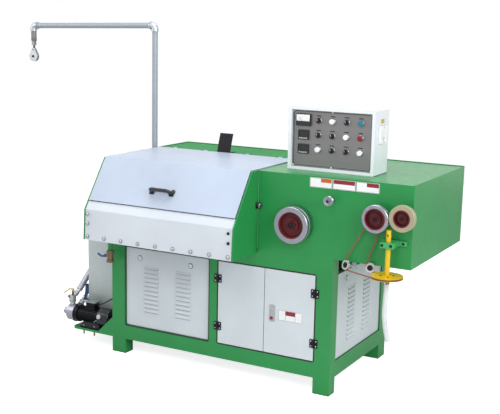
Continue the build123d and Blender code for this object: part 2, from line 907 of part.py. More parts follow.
def clamp_bracket(x, y):
    """A split bearing block on a base plate with two ears."""
    z0, z1 = clamp_z - clamp_height / 2, clamp_z + clamp_height / 2
    half = clamp_width / 2
    plate = block(x - half - clamp_ear / 2, x + half + clamp_ear, -10, 0, z0 + 2, z1 - 2)
    plate = fillet(plate.edges().filter_by(Axis.Y), 3)
    body = block(x - half, x + half, y, -10, z0, z1)
    body -= block(x - half - 1, x - 22, y + 22, -18, z0 - 1, z1 + 1)
    body -= block(x + 22, x + half + 1, y + 22, -18, z0 - 1, z1 + 1)
    cap = block(x - half, x + half, -clamp_front, y - 1, z0, z1)
    cap = fillet(cap.edges().filter_by(Axis.Z).filter_by(lambda e: e.center().Y < y - 5), 4)
    hole = Pos(x, y, clamp_z) * Cylinder(tube_radius + running_fit, clamp_height + 2)
    keep("tube_bracket", plate + body - hole, cap - hole)


def hose_points():
    x, y = tube_x, tube_y
    top = disc_z - disc_thickness / 2 - 10
    return [
        (x, y, top),
        (x + 0.5, y, top - 50),
        (x - 3, y + 1, top - 108),
        (x - 7, y + 3, top - 166),
        (x - 4, y + 4, top - 222),
        (x + 4, y + 4, top - 270),
        (x + 10, y + 3, top - 312),
    ]


def cord_bends(points):
    """The largest tangent arc that each corner's runs allow, 0.45 of the shorter."""
    spots = [Vector(*p) for p in points]
    radii = []
    for a, b, c in zip(spots, spots[1:], spots[2:]):
        turn = radians((b - a).get_angle(c - b))
        radii.append(0.45 * min((b - a).length, (c - b).length) / tan(turn / 2))
    return radii


def hose():
    points = hose_points()
    radii = cord_bends(points)
    print("hose bend radii", [round(r) for r in radii])
    keep("outlet_hose", pipe_run(points, radii, hose_radius))


def control_box():
    left, right = control_left, control_left + control_width
    low, high = control_bottom, control_bottom + control_height
    body = block(left, right, control_front, control_back, low, high)
    body = fillet(body.edges().filter_by(Axis.Y), 3)
    lip = control_lip
    floor = control_front + control_recess
    body -= block(left + lip, right - lip, control_front - 1, floor, low + lip, high - lip)
    keep("control_box", body)
    face = floor - control_plate_thickness
    inset = lip + 1
    plate = block(left + inset, right - inset, face, floor, low + inset, high - inset)
    keep("control_plate", plate)
    instruments(left, low, face)
    y0, z0 = control_front + 56, high - 80 - socket_height
    socket = Pos(right, y0 + socket_width / 2, z0 + socket_height / 2)
    cover = fillet(Box(12, socket_width, socket_height).edges().filter_by(Axis.X), 6)
    cover = Pos(6, 0, 0) * cover
    cover -= Pos(12, 0, -12) * Box(6, 56, 46)
    keep("side_socket", socket * cover)


def instruments(left, low, face):
    meter = block(left + 40, left + 122, face - 14, face, low + 233, low + 295)
    meter -= block(left + 44, left + 118, face - 15, face - 11, low + 259, low + 291)
    displays = []
    for z in (low + 161, low + 87):
        frame = block(left + 52, left + 112, face - 9, face, z, z + 50)
        displays.append(frame - block(left + 57, left + 107, face - 10, face - 6, z + 16, z + 45))
    keep("panel_instruments", meter, *displays)
    knobs, buttons = [], []
    for row in range(control_rows):
        for column in range(control_columns):
            x = left + control_first_x + column * control_pitch_x
            z = low + control_first_z - row * control_pitch_z
            if (row, column) in ((0, 0), (0, 2), (1, 0), (1, 1), (2, 1), (2, 2)):
                knobs.append(selector(x, z, face))
            else:
                buttons.append(push_button(x, z, face))
    keep("selector_knobs", *knobs)
    keep("push_buttons", *buttons)


def bezel_points(face):
    b = bezel_radius
    return [(0, face), (b, face), (b, face - 3), (b - 2, face - 6)]


def push_button(x, z, face):
    r = button_radius
    cap = [(r, face - 6), (r, face - 14), (r - 2.5, face - 17), (0, face - 17)]
    return turned(bezel_points(face) + cap, x, z)


def selector(x, z, face):
    r = button_radius
    cap = [(r, face - 6), (r, face - 11), (0, face - 11)]
    base = turned(bezel_points(face) + cap, x, z)
    grip = block(x - 4, x + 4, face - 24, face - 10, z - r + 1, z + r - 1)
    return base + fillet(grip.edges().filter_by(Axis.Y), 2.5)


def overhead_guide():
    x, y = pole_x, pole_y
    tip = pole_x - boom_reach
    drop = boom_reach * tan(radians(boom_dip))
    z_tip = boom_z - drop
    r, bore, reach = pipe_radius, pipe_bore, elbow_reach
    ring = Circle(r) - Circle(bore)
    pole = extrude(Plane((x, y, pole_bottom)) * ring, amount=boom_z - reach + 10 - pole_bottom)
    along = Vector(tip, y, z_tip) - Vector(x, y, boom_z)
    step = along.normalized()
    boom_start = Vector(x, y, boom_z) + step * (reach - 10)
    boom = extrude(Plane(boom_start, z_dir=step) * ring, amount=along.length - 2 * (reach - 10))
    hang = extrude(Plane((tip, y, z_tip - reach + 10), z_dir=(0, 0, -1)) * ring, amount=drop_length)
    end = z_tip - reach + 10 - drop_length
    hang += rod((tip, y, end), (tip, y, end + 12), bore)
    hang += block(tip - 8, tip + 8, y - 13, y + 13, end - 8, end)
    for side in (-1, 1):
        low, high = sorted((y + side * 7, y + side * 13))
        hang += block(tip - 8, tip + 8, low, high, end - 30, end - 8)
    pivot = end - 21
    hang += rod((tip, y - 10, pivot), (tip, y + 10, pivot), 3.5)
    keep("guide_pipes", pole, boom, hang)
    keep(
        "pipe_elbows",
        elbow(Vector(x, y, boom_z), Vector(0, 0, -1), step),
        elbow(Vector(tip, y, z_tip), Vector(0, 0, -1), step * -1),
    )
    pulley(tip, y, pivot)


def elbow(corner, first, second):
    """A threaded pipe elbow: a bent body with a thick bead at each mouth."""
    reach = elbow_reach
    path = FilletPolyline(corner + first * reach, corner, corner + second * reach, radius=20)
    body = sweep(Plane(path @ 0, z_dir=path % 0) * Circle(elbow_radius - 2.5), path=path)
    for way in (first, second):
        body += rod(corner + way * (reach - 9), corner + way * reach, elbow_radius)
        body -= rod(corner + way * (reach - 10), corner + way * (reach + 1), pipe_radius)
    return body


def pulley(x, y, pivot):
    """The swinging block: a link, two teardrop cheeks and the sheave between."""
    eye = rod((x, y - 3, pivot), (x, y + 3, pivot), 8)
    eye -= rod((x, y - 4, pivot), (x, y + 4, pivot), 3.5 + running_fit)
    centre = pivot - link_length - sheave_radius
    link = eye + block(x - 3.5, x + 3.5, y - 3, y + 3, centre + 45, pivot - 6)
    gap = sheave_width / 2 + 1
    t = cheek_thickness
    cheeks = []
    for side in (-1, 1):
        inner = y + side * gap
        outer = y + side * (gap + t)
        low, high = sorted((inner, outer))
        round_part = rod((x, low, centre), (x, high, centre), sheave_radius + 6)
        top_part = rod((x, low, centre + 46), (x, high, centre + 46), 9)
        web = extrude(
            Plane((x, low, centre), x_dir=(1, 0, 0), z_dir=(0, 1, 0))
            * make_face(Polyline((-29, -13), (29, -13), (8.5, -49), (-8.5, -49), close=True)),
            amount=t,
        )
        cheeks.append(round_part + top_part + web)
    axle = rod((x, y - gap - t - 2, centre), (x, y + gap + t + 2, centre), 5)
    bridge = block(x - 6, x + 6, y - gap, y + gap, centre + 38, centre + 52)
    block_body = cheeks[0] + cheeks[1] + axle + bridge + link
    keep("pulley_block", block_body)
    r, w = sheave_radius, sheave_width / 2
    bore = 5 + running_fit
    points = [(bore, -w), (r, -w), (r, -w + 1.5), (r - 6, -1.5), (r - 6, 1.5), (r, w - 1.5), (r, w), (bore, w)]
    sheave = revolve(make_face(Polyline(*points, close=True)), Axis.Y)
    keep("pulley_sheave", Pos(x, y, centre) * sheave)


def platform():
    plate = block(-platform_length, 0, 0, platform_depth, rail_bottom, platform_top)
    corners = plate.edges().filter_by(Axis.Z).filter_by(lambda e: e.center().X < -1)
    plate = fillet(corners, platform_radius)
    outline = Plane.XZ * Polyline(
        (-gusset_reach, platform_top), (0, platform_top), (0, platform_top + gusset_reach), close=True
    )
    keep("pump_platform", plate + extrude(make_face(outline), amount=gusset_thickness, dir=(0, 1, 0)))


def tank():
    x0, x1 = tank_left, -tank_gap
    y0, y1 = tank_front, tank_front + tank_depth
    z0 = platform_top
    z1 = z0 + tank_height
    body = block(x0, x1, y0, y1, z0, z1)
    body = fillet(body.edges().filter_by(Axis.Z), 8)
    rolled = block(x0 - 5, x1 + 5, y0 - 5, y1 + 5, z1 - 22, z1)
    keep("coolant_tank", body + fillet(rolled.edges().filter_by(Axis.Z), 10))


def pump():
    y, z = motor_y, motor_z
    right = -motor_right
    fan_start = right - fan_cover_length
    body_left = fan_start - motor_length
    head_right = body_left - adapter_length
    body = rod((body_left, y, z), (fan_start, y, z), motor_radius - 6)
    fins = 24
    for i in range(fins):
        angle = 2 * pi * i / fins
        if sin(angle) < -0.6:
            continue
        fin = Pos(0, 0, motor_radius - 5) * Box(motor_length - 8, 2.4, 10)
        fin = Pos((body_left + fan_start) / 2, y, z) * (Rot(degrees(angle) - 90, 0, 0) * fin)
        body += fin
    low, heel = platform_top, 62
    foot = [(y - heel, low), (y - heel, low + 9), (y - 34, low + 38), (y + 34, low + 38), (y + heel, low + 9), (y + heel, low)]
    body += side_profile(foot, fan_start - 114, fan_start + 14)
    cover = rod((fan_start, y, z), (right, y, z), fan_cover_radius)
    cover = fillet(cover.edges().filter_by(GeomType.CIRCLE).sort_by(Axis.X)[-1], 14)
    body += cover
    adapter = rod((head_right, y, z), (body_left, y, z), head_radius + 2)
    body += adapter
    box_x = body_left + 83
    top = z + motor_radius
    terminal = block(box_x - 30, box_x + 30, y - 21, y + 21, top - 12, top + 28)
    terminal += block(box_x - 36, box_x + 36, y - 26, y + 26, top - 12, top + 4)
    lid = block(box_x - 33, box_x + 33, y - 24, y + 24, top + 27, top + 36)
    body += fillet(lid.edges().filter_by(Axis.Z), 6)
    body += terminal
    keep("pump_motor", body)
    x0 = head_right - head_length
    head = Pos(0, y, z) * revolve(
        make_face(
            Polyline(
                (x0, 0), (x0, 22), (x0 + 14, 24), (x0 + 22, 38), (x0 + 32, head_radius),
                (head_right - 10, head_radius), (head_right - 10, head_radius + 5), (head_right, head_radius + 5),
                (head_right, 0), close=True,
            )
        ),
        Axis.X,
    )
    out_x = x0 + 46
    out_z = z + head_radius + 14
    in_x = x0 + 20
    head += rod((out_x, y, z + 30), (out_x, y, out_z), 16)
    head += rod((in_x, y + 10, z), (in_x, y + head_radius + 2, z), 17)
    head += rod((x0, y, z), (x0 - 10, y, z), 19)
    keep("pump_head", head)
    plumbing(out_x, out_z, in_x)
    cable(box_x + 30)


def delivery_stem(out_x, out_z):
    """Foot and head of the delivery valve's stem, which leans to the front."""
    foot = Vector(out_x, motor_y, out_z + 28)
    return foot, foot + Vector(18, -20, 49)


def suction_stem():
    """Foot and head of the suction valve's stem, which points to the front."""
    foot = Vector(tank_left - 50, tank_front + 58, motor_z + 58)
    return foot, foot + Vector(0, -24, 0)


def plumbing(out_x, out_z, in_x):
    """The delivery and suction pipes, their valves, the drain valve and the levers."""
    r, y, wall = coolant_pipe_radius, motor_y, tank_left
    rise = out_z + 70
    delivery = pipe_run(
        [
            (out_x, y, out_z),
            (out_x, y, out_z + 30),
            (out_x + 27, y + 28, rise),
            (wall - 24, tank_front + 100, rise + 140),
            (wall, tank_front + 100, rise + 140),
        ],
        [30, 40, 18],
        r,
    )
    foot, head = suction_stem()
    in_y, in_z = foot.Y, foot.Z
    suction = pipe_run(
        [
            (in_x, y + head_radius + 2, motor_z),
            (in_x, in_y, motor_z),
            (in_x, in_y, motor_z + 26),
            (in_x + 26, in_y, in_z),
            (wall, in_y, in_z),
        ],
        [16, 18, 24],
        r,
    )
    suction += rod((foot.X - 30, in_y, in_z), (foot.X + 26, in_y, in_z), r + 5)
    suction += rod(foot, head, 7)
    keep("coolant_pipes", delivery, suction)
    low_stem, high_stem = delivery_stem(out_x, out_z)
    delivery_valve = rod((out_x, y, out_z + 12), (out_x, y, out_z + 38), r + 5)
    delivery_valve += rod(low_stem, high_stem, 6)
    delivery_valve -= delivery
    low, high = drain_top - valve_length, drain_top
    middle = (low + high) / 2
    spot = (drain_x, -drain_y)
    body = rod((*spot, high), (*spot, low), valve_radius)
    for end in (high - 8, low + 8):
        body += rod((*spot, end - 8), (*spot, end + 8), valve_radius + 3)
    body -= rod((*spot, low - 1), (*spot, low + 14), 10)
    stem_x = drain_x - valve_radius - 12
    body += rod((drain_x, -drain_y, middle), (stem_x, -drain_y, middle), 6)
    keep("brass_valves", delivery_valve, body)
    keep("drain_lever", side_lever(stem_x - seat_gap, -drain_y, middle))
    keep("delivery_lever", leaning_lever(low_stem, high_stem))
    keep("suction_lever", paddle_lever(head))


def side_lever(x, y, z):
    """A valve lever on a stem that points to the left."""
    hub_part = rod((x, y, z), (x - 10, y, z), 9)
    points = [(x - 5, y, z + 1), (x - 15, y, z - 3), (x - 32, y, z - 7), (x - 57, y, z + 5)]
    return hub_part + pipe_run(points, [14, 22], 5.5)


def leaning_lever(foot, head):
    """The delivery valve's lever: a hub on the leaning stem and a handle out to the left."""
    way = (head - foot).normalized()
    seat = head + way * seat_gap
    hub_part = rod(seat, seat + way * 13, 9)
    root = seat + way * 8
    points = [root, root + Vector(-18, 0, 3), root + Vector(-66, -2, -30)]
    return hub_part + pipe_run(points, [24], 4.5)


def paddle_lever(head):
    """The suction valve's lever: a hub, a short arm and a broad upright grip."""
    x, y, z = head.X, head.Y - seat_gap, head.Z
    hub_part = rod((x, y, z), (x, y - 10, z), 9)
    outline = Plane.XZ * Polyline(
        (x - 5, z), (x + 5, z - 3), (x + 22, z + 34), (x + 32, z + 42), (x + 33, z + 96), (x + 27, z + 102),
        (x + 15, z + 102), (x + 9, z + 94), (x + 6, z + 52), (x - 2, z + 20), close=True,
    )
    grip = extrude(make_face(outline), amount=8, dir=(0, 1, 0))
    return hub_part + Pos(0, y - 9, 0) * grip


def cable(start):
    """The motor's lead, held at its terminal box and at the cabinet's left panel."""
    y, z = motor_y + 8, motor_z + motor_radius + 22
    points = [
        (start, y, z),
        (start + 18, y, z),
        (start + 40, y + 6, z + 7),
        (start + 66, y + 15, z + 22),
        (start + 95, y + 24, z + 41),
        (-46, y + 31, z + 58),
        (-19, y + 34, z + 66),
        (panel_recess, y + 35, z + 68),
    ]
    radii = cord_bends(points)
    print("cable bend radii", [round(r) for r in radii])
    keep("pump_cable", pipe_run(points, radii, cable_radius))


def drive_pulley():
    """The pulley glimpsed above the side panel, hung under the housing."""
    x, y, z, r = frame_length - 44, front_leg_depth + 128, top_rail_bottom + 52, 42
    points = [
        (0, -13), (r - 14, -13), (r - 12, -12), (r, -12), (r, -6), (r - 8, 0), (r, 6), (r, 12), (9, 12), (9, 30), (0, 30),
    ]
    wheel = Pos(0, y, 0) * turned(points, x, z)
    lug = block(x - 16, x + 16, y + 24, y + 40, z - 16, housing_bottom)
    keep("drive_pulley", wheel + lug)


groups = (base_frame, panels, doors, housing, hood, hood_lid, lid_handle, lid_rest, wheels, belt)
for make in groups + (idlers, laying_gear, control_box, overhead_guide, platform, tank, pump, drive_pulley):
    make()

lows = [shape.bounding_box().min for shape in parts.values()]
highs = [shape.bounding_box().max for shape in parts.values()]
centre_x = (min(p.X for p in lows) + max(p.X for p in highs)) / 2
centre_y = (min(p.Y for p in lows) + max(p.Y for p in highs)) / 2

os.makedirs("parts", exist_ok=True)
for name, shape in parts.items():
    export_step(Pos(-centre_x, -centre_y, 0) * shape, f"parts/{name}.step")
print("origin shift", round(-centre_x, 4), round(-centre_y, 4), "nodes", len(parts))
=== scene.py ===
import json
import math

import bpy
from mathutils import Matrix, Vector


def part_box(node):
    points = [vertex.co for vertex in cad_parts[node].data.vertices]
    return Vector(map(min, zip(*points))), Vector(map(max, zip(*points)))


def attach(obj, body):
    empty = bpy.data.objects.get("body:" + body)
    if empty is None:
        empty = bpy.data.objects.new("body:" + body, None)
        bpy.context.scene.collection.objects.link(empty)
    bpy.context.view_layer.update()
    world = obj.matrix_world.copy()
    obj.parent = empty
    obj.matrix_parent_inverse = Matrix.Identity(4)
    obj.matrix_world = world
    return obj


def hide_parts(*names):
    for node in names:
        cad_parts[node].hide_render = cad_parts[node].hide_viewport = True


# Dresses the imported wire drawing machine. Lengths in the dictionaries are millimetres.
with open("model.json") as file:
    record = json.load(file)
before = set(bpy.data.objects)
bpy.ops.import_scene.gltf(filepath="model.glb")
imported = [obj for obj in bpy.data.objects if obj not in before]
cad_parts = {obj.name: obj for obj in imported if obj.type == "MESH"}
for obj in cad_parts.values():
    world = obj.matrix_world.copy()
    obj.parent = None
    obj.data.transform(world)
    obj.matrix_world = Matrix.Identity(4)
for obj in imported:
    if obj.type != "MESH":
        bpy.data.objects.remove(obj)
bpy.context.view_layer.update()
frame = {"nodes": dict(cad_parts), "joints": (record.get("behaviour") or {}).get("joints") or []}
nodes = frame["nodes"]
cornerX, cornerY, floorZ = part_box("legs")[0]  # the left leg's front corner on the floor
toFront, toRight, toLeft = (0, -1, 0), (1, 0, 0), (-1, 0, 0)
upward, downward = (0, 0, 1), (0, 0, -1)


def place(x, y, z):
    # millimetres from the left leg's front corner, as in the drawing
    return Vector((cornerX + x / 1000, cornerY + y / 1000, floorZ + z / 1000))


def drawn(point):
    # the other way: a place in the frame as the drawing's millimetres
    return tuple((point - place(0, 0, 0)) * 1000)


def addObject(name, data):
    thing = bpy.data.objects.new(name, data)
    bpy.context.scene.collection.objects.link(thing)
    return thing


view = {
    "turn": 28.66, "down": 10.61, "roll": 1.18,  # degrees
    "at": (3361.8, -4500, 1917.8),
    "focal": 987.3, "wide": 500,  # in the photograph's pixels
    "sensor": 36, "farthest": 100,
}


def aimCamera():
    turn, down, roll = (math.radians(view[key]) for key in ("turn", "down", "roll"))
    back = Vector((math.sin(turn) * math.cos(down), -math.cos(turn) * math.cos(down), math.sin(down)))
    right = Vector((math.cos(turn), math.sin(turn), 0))
    up = back.cross(right)
    rolledRight = right * math.cos(roll) + up * math.sin(roll)
    rolledUp = up * math.cos(roll) - right * math.sin(roll)
    lens = bpy.data.cameras.new("photoCamera")
    lens.sensor_width = view["sensor"]
    lens.lens = view["focal"] / view["wide"] * lens.sensor_width
    lens.clip_end = view["farthest"]
    camera = addObject("photoCamera", lens)
    axes = Matrix((rolledRight, rolledUp, back)).transposed().to_4x4()
    camera.matrix_world = Matrix.Translation(place(*view["at"])) @ axes
    bpy.context.scene.camera = camera


aimCamera()
print("camera in place")

hose = {
    "radius": 12.5, "length": 0.3125, "top": 689.5, "x": 1708, "y": -65,
    "drift": (  # aside, back and down from its upper end
        (0, 0, 0), (0.5, 0, 50), (-3, 1, 108), (-6, 3, 166), (-1, 4, 222), (9, 4, 270), (19, 3, 311),
    ),
}
cable = {
    "radius": 4, "length": 0.205,
    "points": (
        (-173, 78, 236), (-155, 78, 236), (-133, 84, 243), (-107, 93, 258),
        (-78, 102, 277), (-46, 109, 294), (-19, 112, 302), (8, 113, 304),
    ),
}


def addCord(name, points, radius):
    curve = bpy.data.curves.new(name, "CURVE")
    curve.dimensions = "3D"
    spline = curve.splines.new("NURBS")
    spline.points.add(len(points) - 1)
    for knot, point in zip(spline.points, points):
        knot.co = (*place(*point), 1)
        knot.radius = radius / 1000  # thickness held by the points keeps the curve's box tight
    spline.order_u = 3
    spline.use_endpoint_u = True
    curve.resolution_u = 16
    curve.bevel_depth = 1
    curve.bevel_resolution = 6
    curve.use_fill_caps = True
    return addObject(name, curve)


def buildCords():
    points = [(hose["x"] + x, hose["y"] + y, hose["top"] - down) for x, y, down in hose["drift"]]
    tube = addCord("outletHose", points, hose["radius"])
    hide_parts("outlet_hose")
    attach(tube, "machine")
    lead = addCord("pumpCable", cable["points"], cable["radius"])
    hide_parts("pump_cable")
    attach(lead, "machine")
    return tube, lead


outletHose, pumpCable = buildCords()
print("hose and cable routed")

grains = {  # scale, detail and roughness of each noise
    "patches": (2.4, 4, 0.55), "specks": (26, 6, 0.7), "chips": (34, 8, 0.75), "shadeRagged": (7, 5, 0.65),
    "peel": (420, 2, 0.5), "spots": (18, 6, 0.7), "haze": (14, 4, 0.6), "ringSpecks": (40, 6, 0.7),
}
coating = {"drift": 0.07, "under": (0.16, 0.16, 0.16)}  # how far a tone drifts, metal under the chips
lathe = {"gloss": 0.34, "rings": 240, "dark": 0.25}  # turned wheels: rings to a metre, shade of the hollows


def startMaterial(name):
    material = bpy.data.materials.new(name)
    material.use_nodes = True
    return material, material.node_tree, material.node_tree.nodes["Principled BSDF"]


def setInputs(node, values):
    for name, value in values.items():
        node.inputs[name].default_value = value


def addNode(tree, kind, values={}):
    node = tree.nodes.new("ShaderNode" + kind)
    setInputs(node, values)
    return node


def wire(tree, source, node, entry):
    tree.links.new(source, node.inputs[entry])


def addCoords(tree):
    return addNode(tree, "TexCoord").outputs["Object"]


def addNoise(tree, coords, scale, detail, rough, stretch=None):
    source = coords
    if stretch:
        mapping = addNode(tree, "Mapping", {"Scale": stretch})
        wire(tree, coords, mapping, "Vector")
        source = mapping.outputs["Vector"]
    noise = addNode(tree, "TexNoise", {"Scale": scale, "Detail": detail, "Roughness": rough})
    wire(tree, source, noise, "Vector")
    return noise.outputs["Fac"]


def addRange(tree, value, low, high, out):
    # values from low to high are spread over the pair in out
    ramp = addNode(tree, "MapRange", {"From Min": low, "From Max": high, "To Min": out[0], "To Max": out[1]})
    wire(tree, value, ramp, "Value")
    return ramp.outputs["Result"]


def addMix(tree, factor, first, second, blend="MIX"):
    mix = addNode(tree, "Mix")
    mix.data_type = "RGBA"
    mix.blend_type = blend
    for name, value in (("Factor", factor), ("A", first), ("B", second)):
        if isinstance(value, tuple):
            mix.inputs[name].default_value = (*value, 1)
        elif isinstance(value, int):
            mix.inputs[name].default_value = value
        else:
            wire(tree, value, mix, name)
    return mix.outputs["Result"]


def addMath(tree, kind, first, second):
    node = addNode(tree, "Math")
    node.operation = kind
    for index, value in enumerate((first, second)):
        if isinstance(value, (int, float)):
            node.inputs[index].default_value = value
        else:
            wire(tree, value, node, index)
    return node.outputs["Value"]


def shade(colour, amount):
    return tuple(min(1, part * amount) for part in colour)


def addCloud(tree, noise, colour, spread):
    # the colour drifts from a little darker to a little lighter
    share = addRange(tree, noise, 0.3, 0.7, (0, 1))
    return addMix(tree, share, shade(colour, 1 - spread), shade(colour, 1 + spread))


def addCreviceShade(tree, tone, reach, depth):
    # painted shade: darkens seams, slots and the feet of screws by how closed in they are
    hollow = addNode(tree, "AmbientOcclusion", {"Distance": reach})
    hollow.samples = 6
    shadeAmount = addRange(tree, hollow.outputs["AO"], 0.25, 0.85, (depth, 0))
    return addMix(tree, 1, tone, addMix(tree, shadeAmount, (1, 1, 1), (0.05, 0.05, 0.05)), "MULTIPLY")


def addRelief(tree, shader, height, strength, distance=0.0006):
    relief = addNode(tree, "Bump", {"Strength": strength, "Distance": distance})
    wire(tree, height, relief, "Height")
    wire(tree, relief.outputs["Normal"], shader, "Normal")
    return relief


def paint(name, colour, gloss=0.42, coat=0.15, wear=0, edge=0.0015, grime=0.25, creviceShade=0.01,
          sheen=0.5, lowShade=None):
    material, tree, shader = startMaterial(name)
    coords = addCoords(tree)
    tone = addCloud(tree, addNoise(tree, coords, *grains["patches"]), colour, coating["drift"])
    specks = addNoise(tree, coords, *grains["specks"])
    tone = addMix(tree, addRange(tree, specks, 0.55, 0.85, (0, grime * 0.5)), tone, shade(colour, 0.72))
    bevel = addNode(tree, "Bevel", {"Radius": edge})
    bevel.samples = 4
    if wear:
        # chips along the edges, where the rounded normal leaves the flat one
        dot = addNode(tree, "VectorMath")
        dot.operation = "DOT_PRODUCT"
        wire(tree, bevel.outputs["Normal"], dot, 0)
        wire(tree, addNode(tree, "NewGeometry").outputs["Normal"], dot, 1)
        rim = addRange(tree, dot.outputs["Value"], 0.985, 0.9, (0, 1))
        chips = addRange(tree, addNoise(tree, coords, *grains["chips"]), 0.56, 0.62, (0, wear))
        tone = addMix(tree, addMath(tree, "MULTIPLY", rim, chips), tone, coating["under"])
    if lowShade:
        # painted shade and a painted green reflection of the platform, darker towards the bottom and thinning
        # out with height: low and high ends, then the colour
        low, high, lowShadeTone = lowShade
        split = addNode(tree, "SeparateXYZ")
        wire(tree, coords, split, "Vector")
        depth = addRange(tree, split.outputs["Z"], low, high, (1, 0))
        ragged = addRange(tree, addNoise(tree, coords, *grains["shadeRagged"]), 0.3, 0.7, (0.35, 1))
        tone = addMix(tree, addMath(tree, "MULTIPLY", depth, ragged), tone, lowShadeTone)
    # painted shade in seams, slots and crevices
    if creviceShade:
        tone = addCreviceShade(tree, tone, creviceShade, 0.85)
    wire(tree, tone, shader, "Base Color")
    wire(tree, addRange(tree, specks, 0.3, 0.8, (gloss - 0.05, gloss + 0.1)), shader, "Roughness")
    peel = addRelief(tree, shader, addNoise(tree, coords, *grains["peel"]), 0.06)
    wire(tree, bevel.outputs["Normal"], peel, "Normal")
    setInputs(shader, {"Specular IOR Level": sheen, "Coat Weight": coat, "Coat Roughness": 0.12})
    return material


def metal(name, colour, gloss=0.3, brushed=None, mottled=0.12, tarnish=None, bump=0.05, scale=60,
          metallic=1):
    material, tree, shader = startMaterial(name)
    coords = addCoords(tree)
    grain = addNoise(tree, coords, scale, 5, 0.65, brushed)
    tone = addCloud(tree, grain, colour, mottled)
    if tarnish:
        spots = addNoise(tree, coords, *grains["spots"])
        tone = addMix(tree, addRange(tree, spots, 0.5, 0.68, (0, 0.7)), tone, tarnish)
    # painted shade in the metal's crevices, seams and at the feet of screws
    wire(tree, addCreviceShade(tree, tone, 0.006, 0.8), shader, "Base Color")
    wire(tree, addRange(tree, grain, 0.25, 0.75, (gloss - 0.07, gloss + 0.1)), shader, "Roughness")
    addRelief(tree, shader, grain, bump)
    setInputs(shader, {"Metallic": metallic})
    return material


def plastic(name, colour, gloss=0.4, bump=0.08, scale=500, cloud=0.08):
    material, tree, shader = startMaterial(name)
    coords = addCoords(tree)
    haze = addNoise(tree, coords, *grains["haze"])
    wire(tree, addCloud(tree, haze, colour, cloud), shader, "Base Color")
    wire(tree, addRange(tree, haze, 0.3, 0.7, (gloss - 0.05, gloss + 0.07)), shader, "Roughness")
    addRelief(tree, shader, addNoise(tree, coords, scale, 2, 0.5), bump, 0.0004)
    return material


def turnedPaint(name, colour, node):
    # paint on a turned wheel: fine lathe rings about the wheel's own axis, and a shaded hollow
    material, tree, shader = startMaterial(name)
    low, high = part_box(node)
    centre, radius = (low + high) / 2, (high.x - low.x) / 2
    mapping = addNode(tree, "Mapping", {"Location": (-centre.x, 0, -centre.z), "Scale": (1, 0, 1)})
    coords = addCoords(tree)
    wire(tree, coords, mapping, "Vector")
    length = addNode(tree, "VectorMath")
    length.operation = "LENGTH"
    wire(tree, mapping.outputs["Vector"], length, 0)
    reach = length.outputs["Value"]
    wave = addMath(tree, "SINE", addMath(tree, "MULTIPLY", reach, lathe["rings"] * math.tau), 0)
    dark, gloss = shade(colour, lathe["dark"]), lathe["gloss"]
    tone = addMix(tree, addRange(tree, wave, -1, 1, (0, 0.35)), colour, dark)
    inner = addRange(tree, reach, radius * 0.3, radius * 0.36, (1, 0))
    outer = addRange(tree, reach, radius * 0.5, radius * 0.55, (0, 1))
    step = addRange(tree, reach, radius * 0.93, radius * 0.97, (1, 0))
    band = addMath(tree, "MULTIPLY", addMath(tree, "MULTIPLY", outer, step), 0.66)
    tone = addMix(tree, addMath(tree, "MAXIMUM", inner, band), tone, dark)
    specks = addNoise(tree, coords, *grains["ringSpecks"])
    tone = addMix(tree, addRange(tree, specks, 0.58, 0.8, (0, 0.4)), tone, shade(colour, 1.9))
    # painted shade in the wheel's grooves and recesses
    wire(tree, addCreviceShade(tree, tone, 0.016, 0.8), shader, "Base Color")
    wire(tree, addRange(tree, specks, 0.3, 0.8, (gloss - 0.06, gloss + 0.14)), shader, "Roughness")
    addRelief(tree, shader, wave, 0.12)
    setInputs(shader, {"Specular IOR Level": 0.3, "Coat Weight": 0.1, "Coat Roughness": 0.15})
    return material


enamelGreen = (0.02, 0.262, 0.066)
hubRed = (0.165, 0.008, 0.015)
machineGreen = paint("machineGreen", enamelGreen, gloss=0.32, coat=0.1, wear=0.5, creviceShade=0.018, sheen=0.35)
rearGreen = paint("rearGreen", enamelGreen, gloss=0.5, coat=0, wear=0.4, creviceShade=0.018, sheen=0.12)
# a lighter copy of the machine green: painted light on the tube bracket
bracketLitGreen = paint("bracketLitGreen", (0.045, 0.36, 0.11), gloss=0.32, wear=0.4, edge=0.001, creviceShade=0.006)
# a pale green for the painted highlight along the hood's right joint
seamHighlightGreen = paint("seamHighlightGreen", (0.16, 0.5, 0.24), gloss=0.4, coat=0.1, creviceShade=0)
panelGrey = paint("panelGrey", (0.6, 0.655, 0.695), coat=0.1, wear=0.3, edge=0.0006,
                  grime=0.15, creviceShade=0.015)
coverWhite = paint("coverWhite", (0.63, 0.68, 0.74), gloss=0.38, wear=0.2, grime=0.15)
boxWhite = paint("boxWhite", (0.78, 0.82, 0.87), gloss=0.36, wear=0.2, grime=0.1)
lidBlue = paint("lidBlue", (0.48, 0.555, 0.685), coat=0.05, sheen=0.4, wear=0.2, grime=0.1)
# its lower part carries painted shade and a painted green reflection of the platform
tankGrey = paint("tankGrey", (0.53, 0.58, 0.6), coat=0.1, wear=0.4, grime=0.6,
                 lowShade=(0.12, 0.42, (0.27, 0.33, 0.28)))
safetyYellow = paint("safetyYellow", (0.7, 0.47, 0.003), gloss=0.36, wear=0.5, edge=0.001, creviceShade=0.004)
capstanRed = turnedPaint("capstanRed", hubRed, "capstan_hub")
pullRed = turnedPaint("pullRed", hubRed, "pull_wheel_hub")
pressRed = turnedPaint("pressRed", hubRed, "press_wheel_hub")
blackEnamel = paint("blackEnamel", (0.01, 0.011, 0.014), gloss=0.4, coat=0.04, wear=0.3, edge=0.001,
                    sheen=0.18)
motorBlack = paint("motorBlack", (0.006, 0.007, 0.01), gloss=0.3, coat=0.03, wear=0.15, edge=0.0012,
                   grime=0, sheen=0.12)
cowlSlate = paint("cowlSlate", (0.012, 0.014, 0.021), gloss=0.2, coat=0.6, wear=0.1, edge=0.0012,
                  grime=0, sheen=0.1)
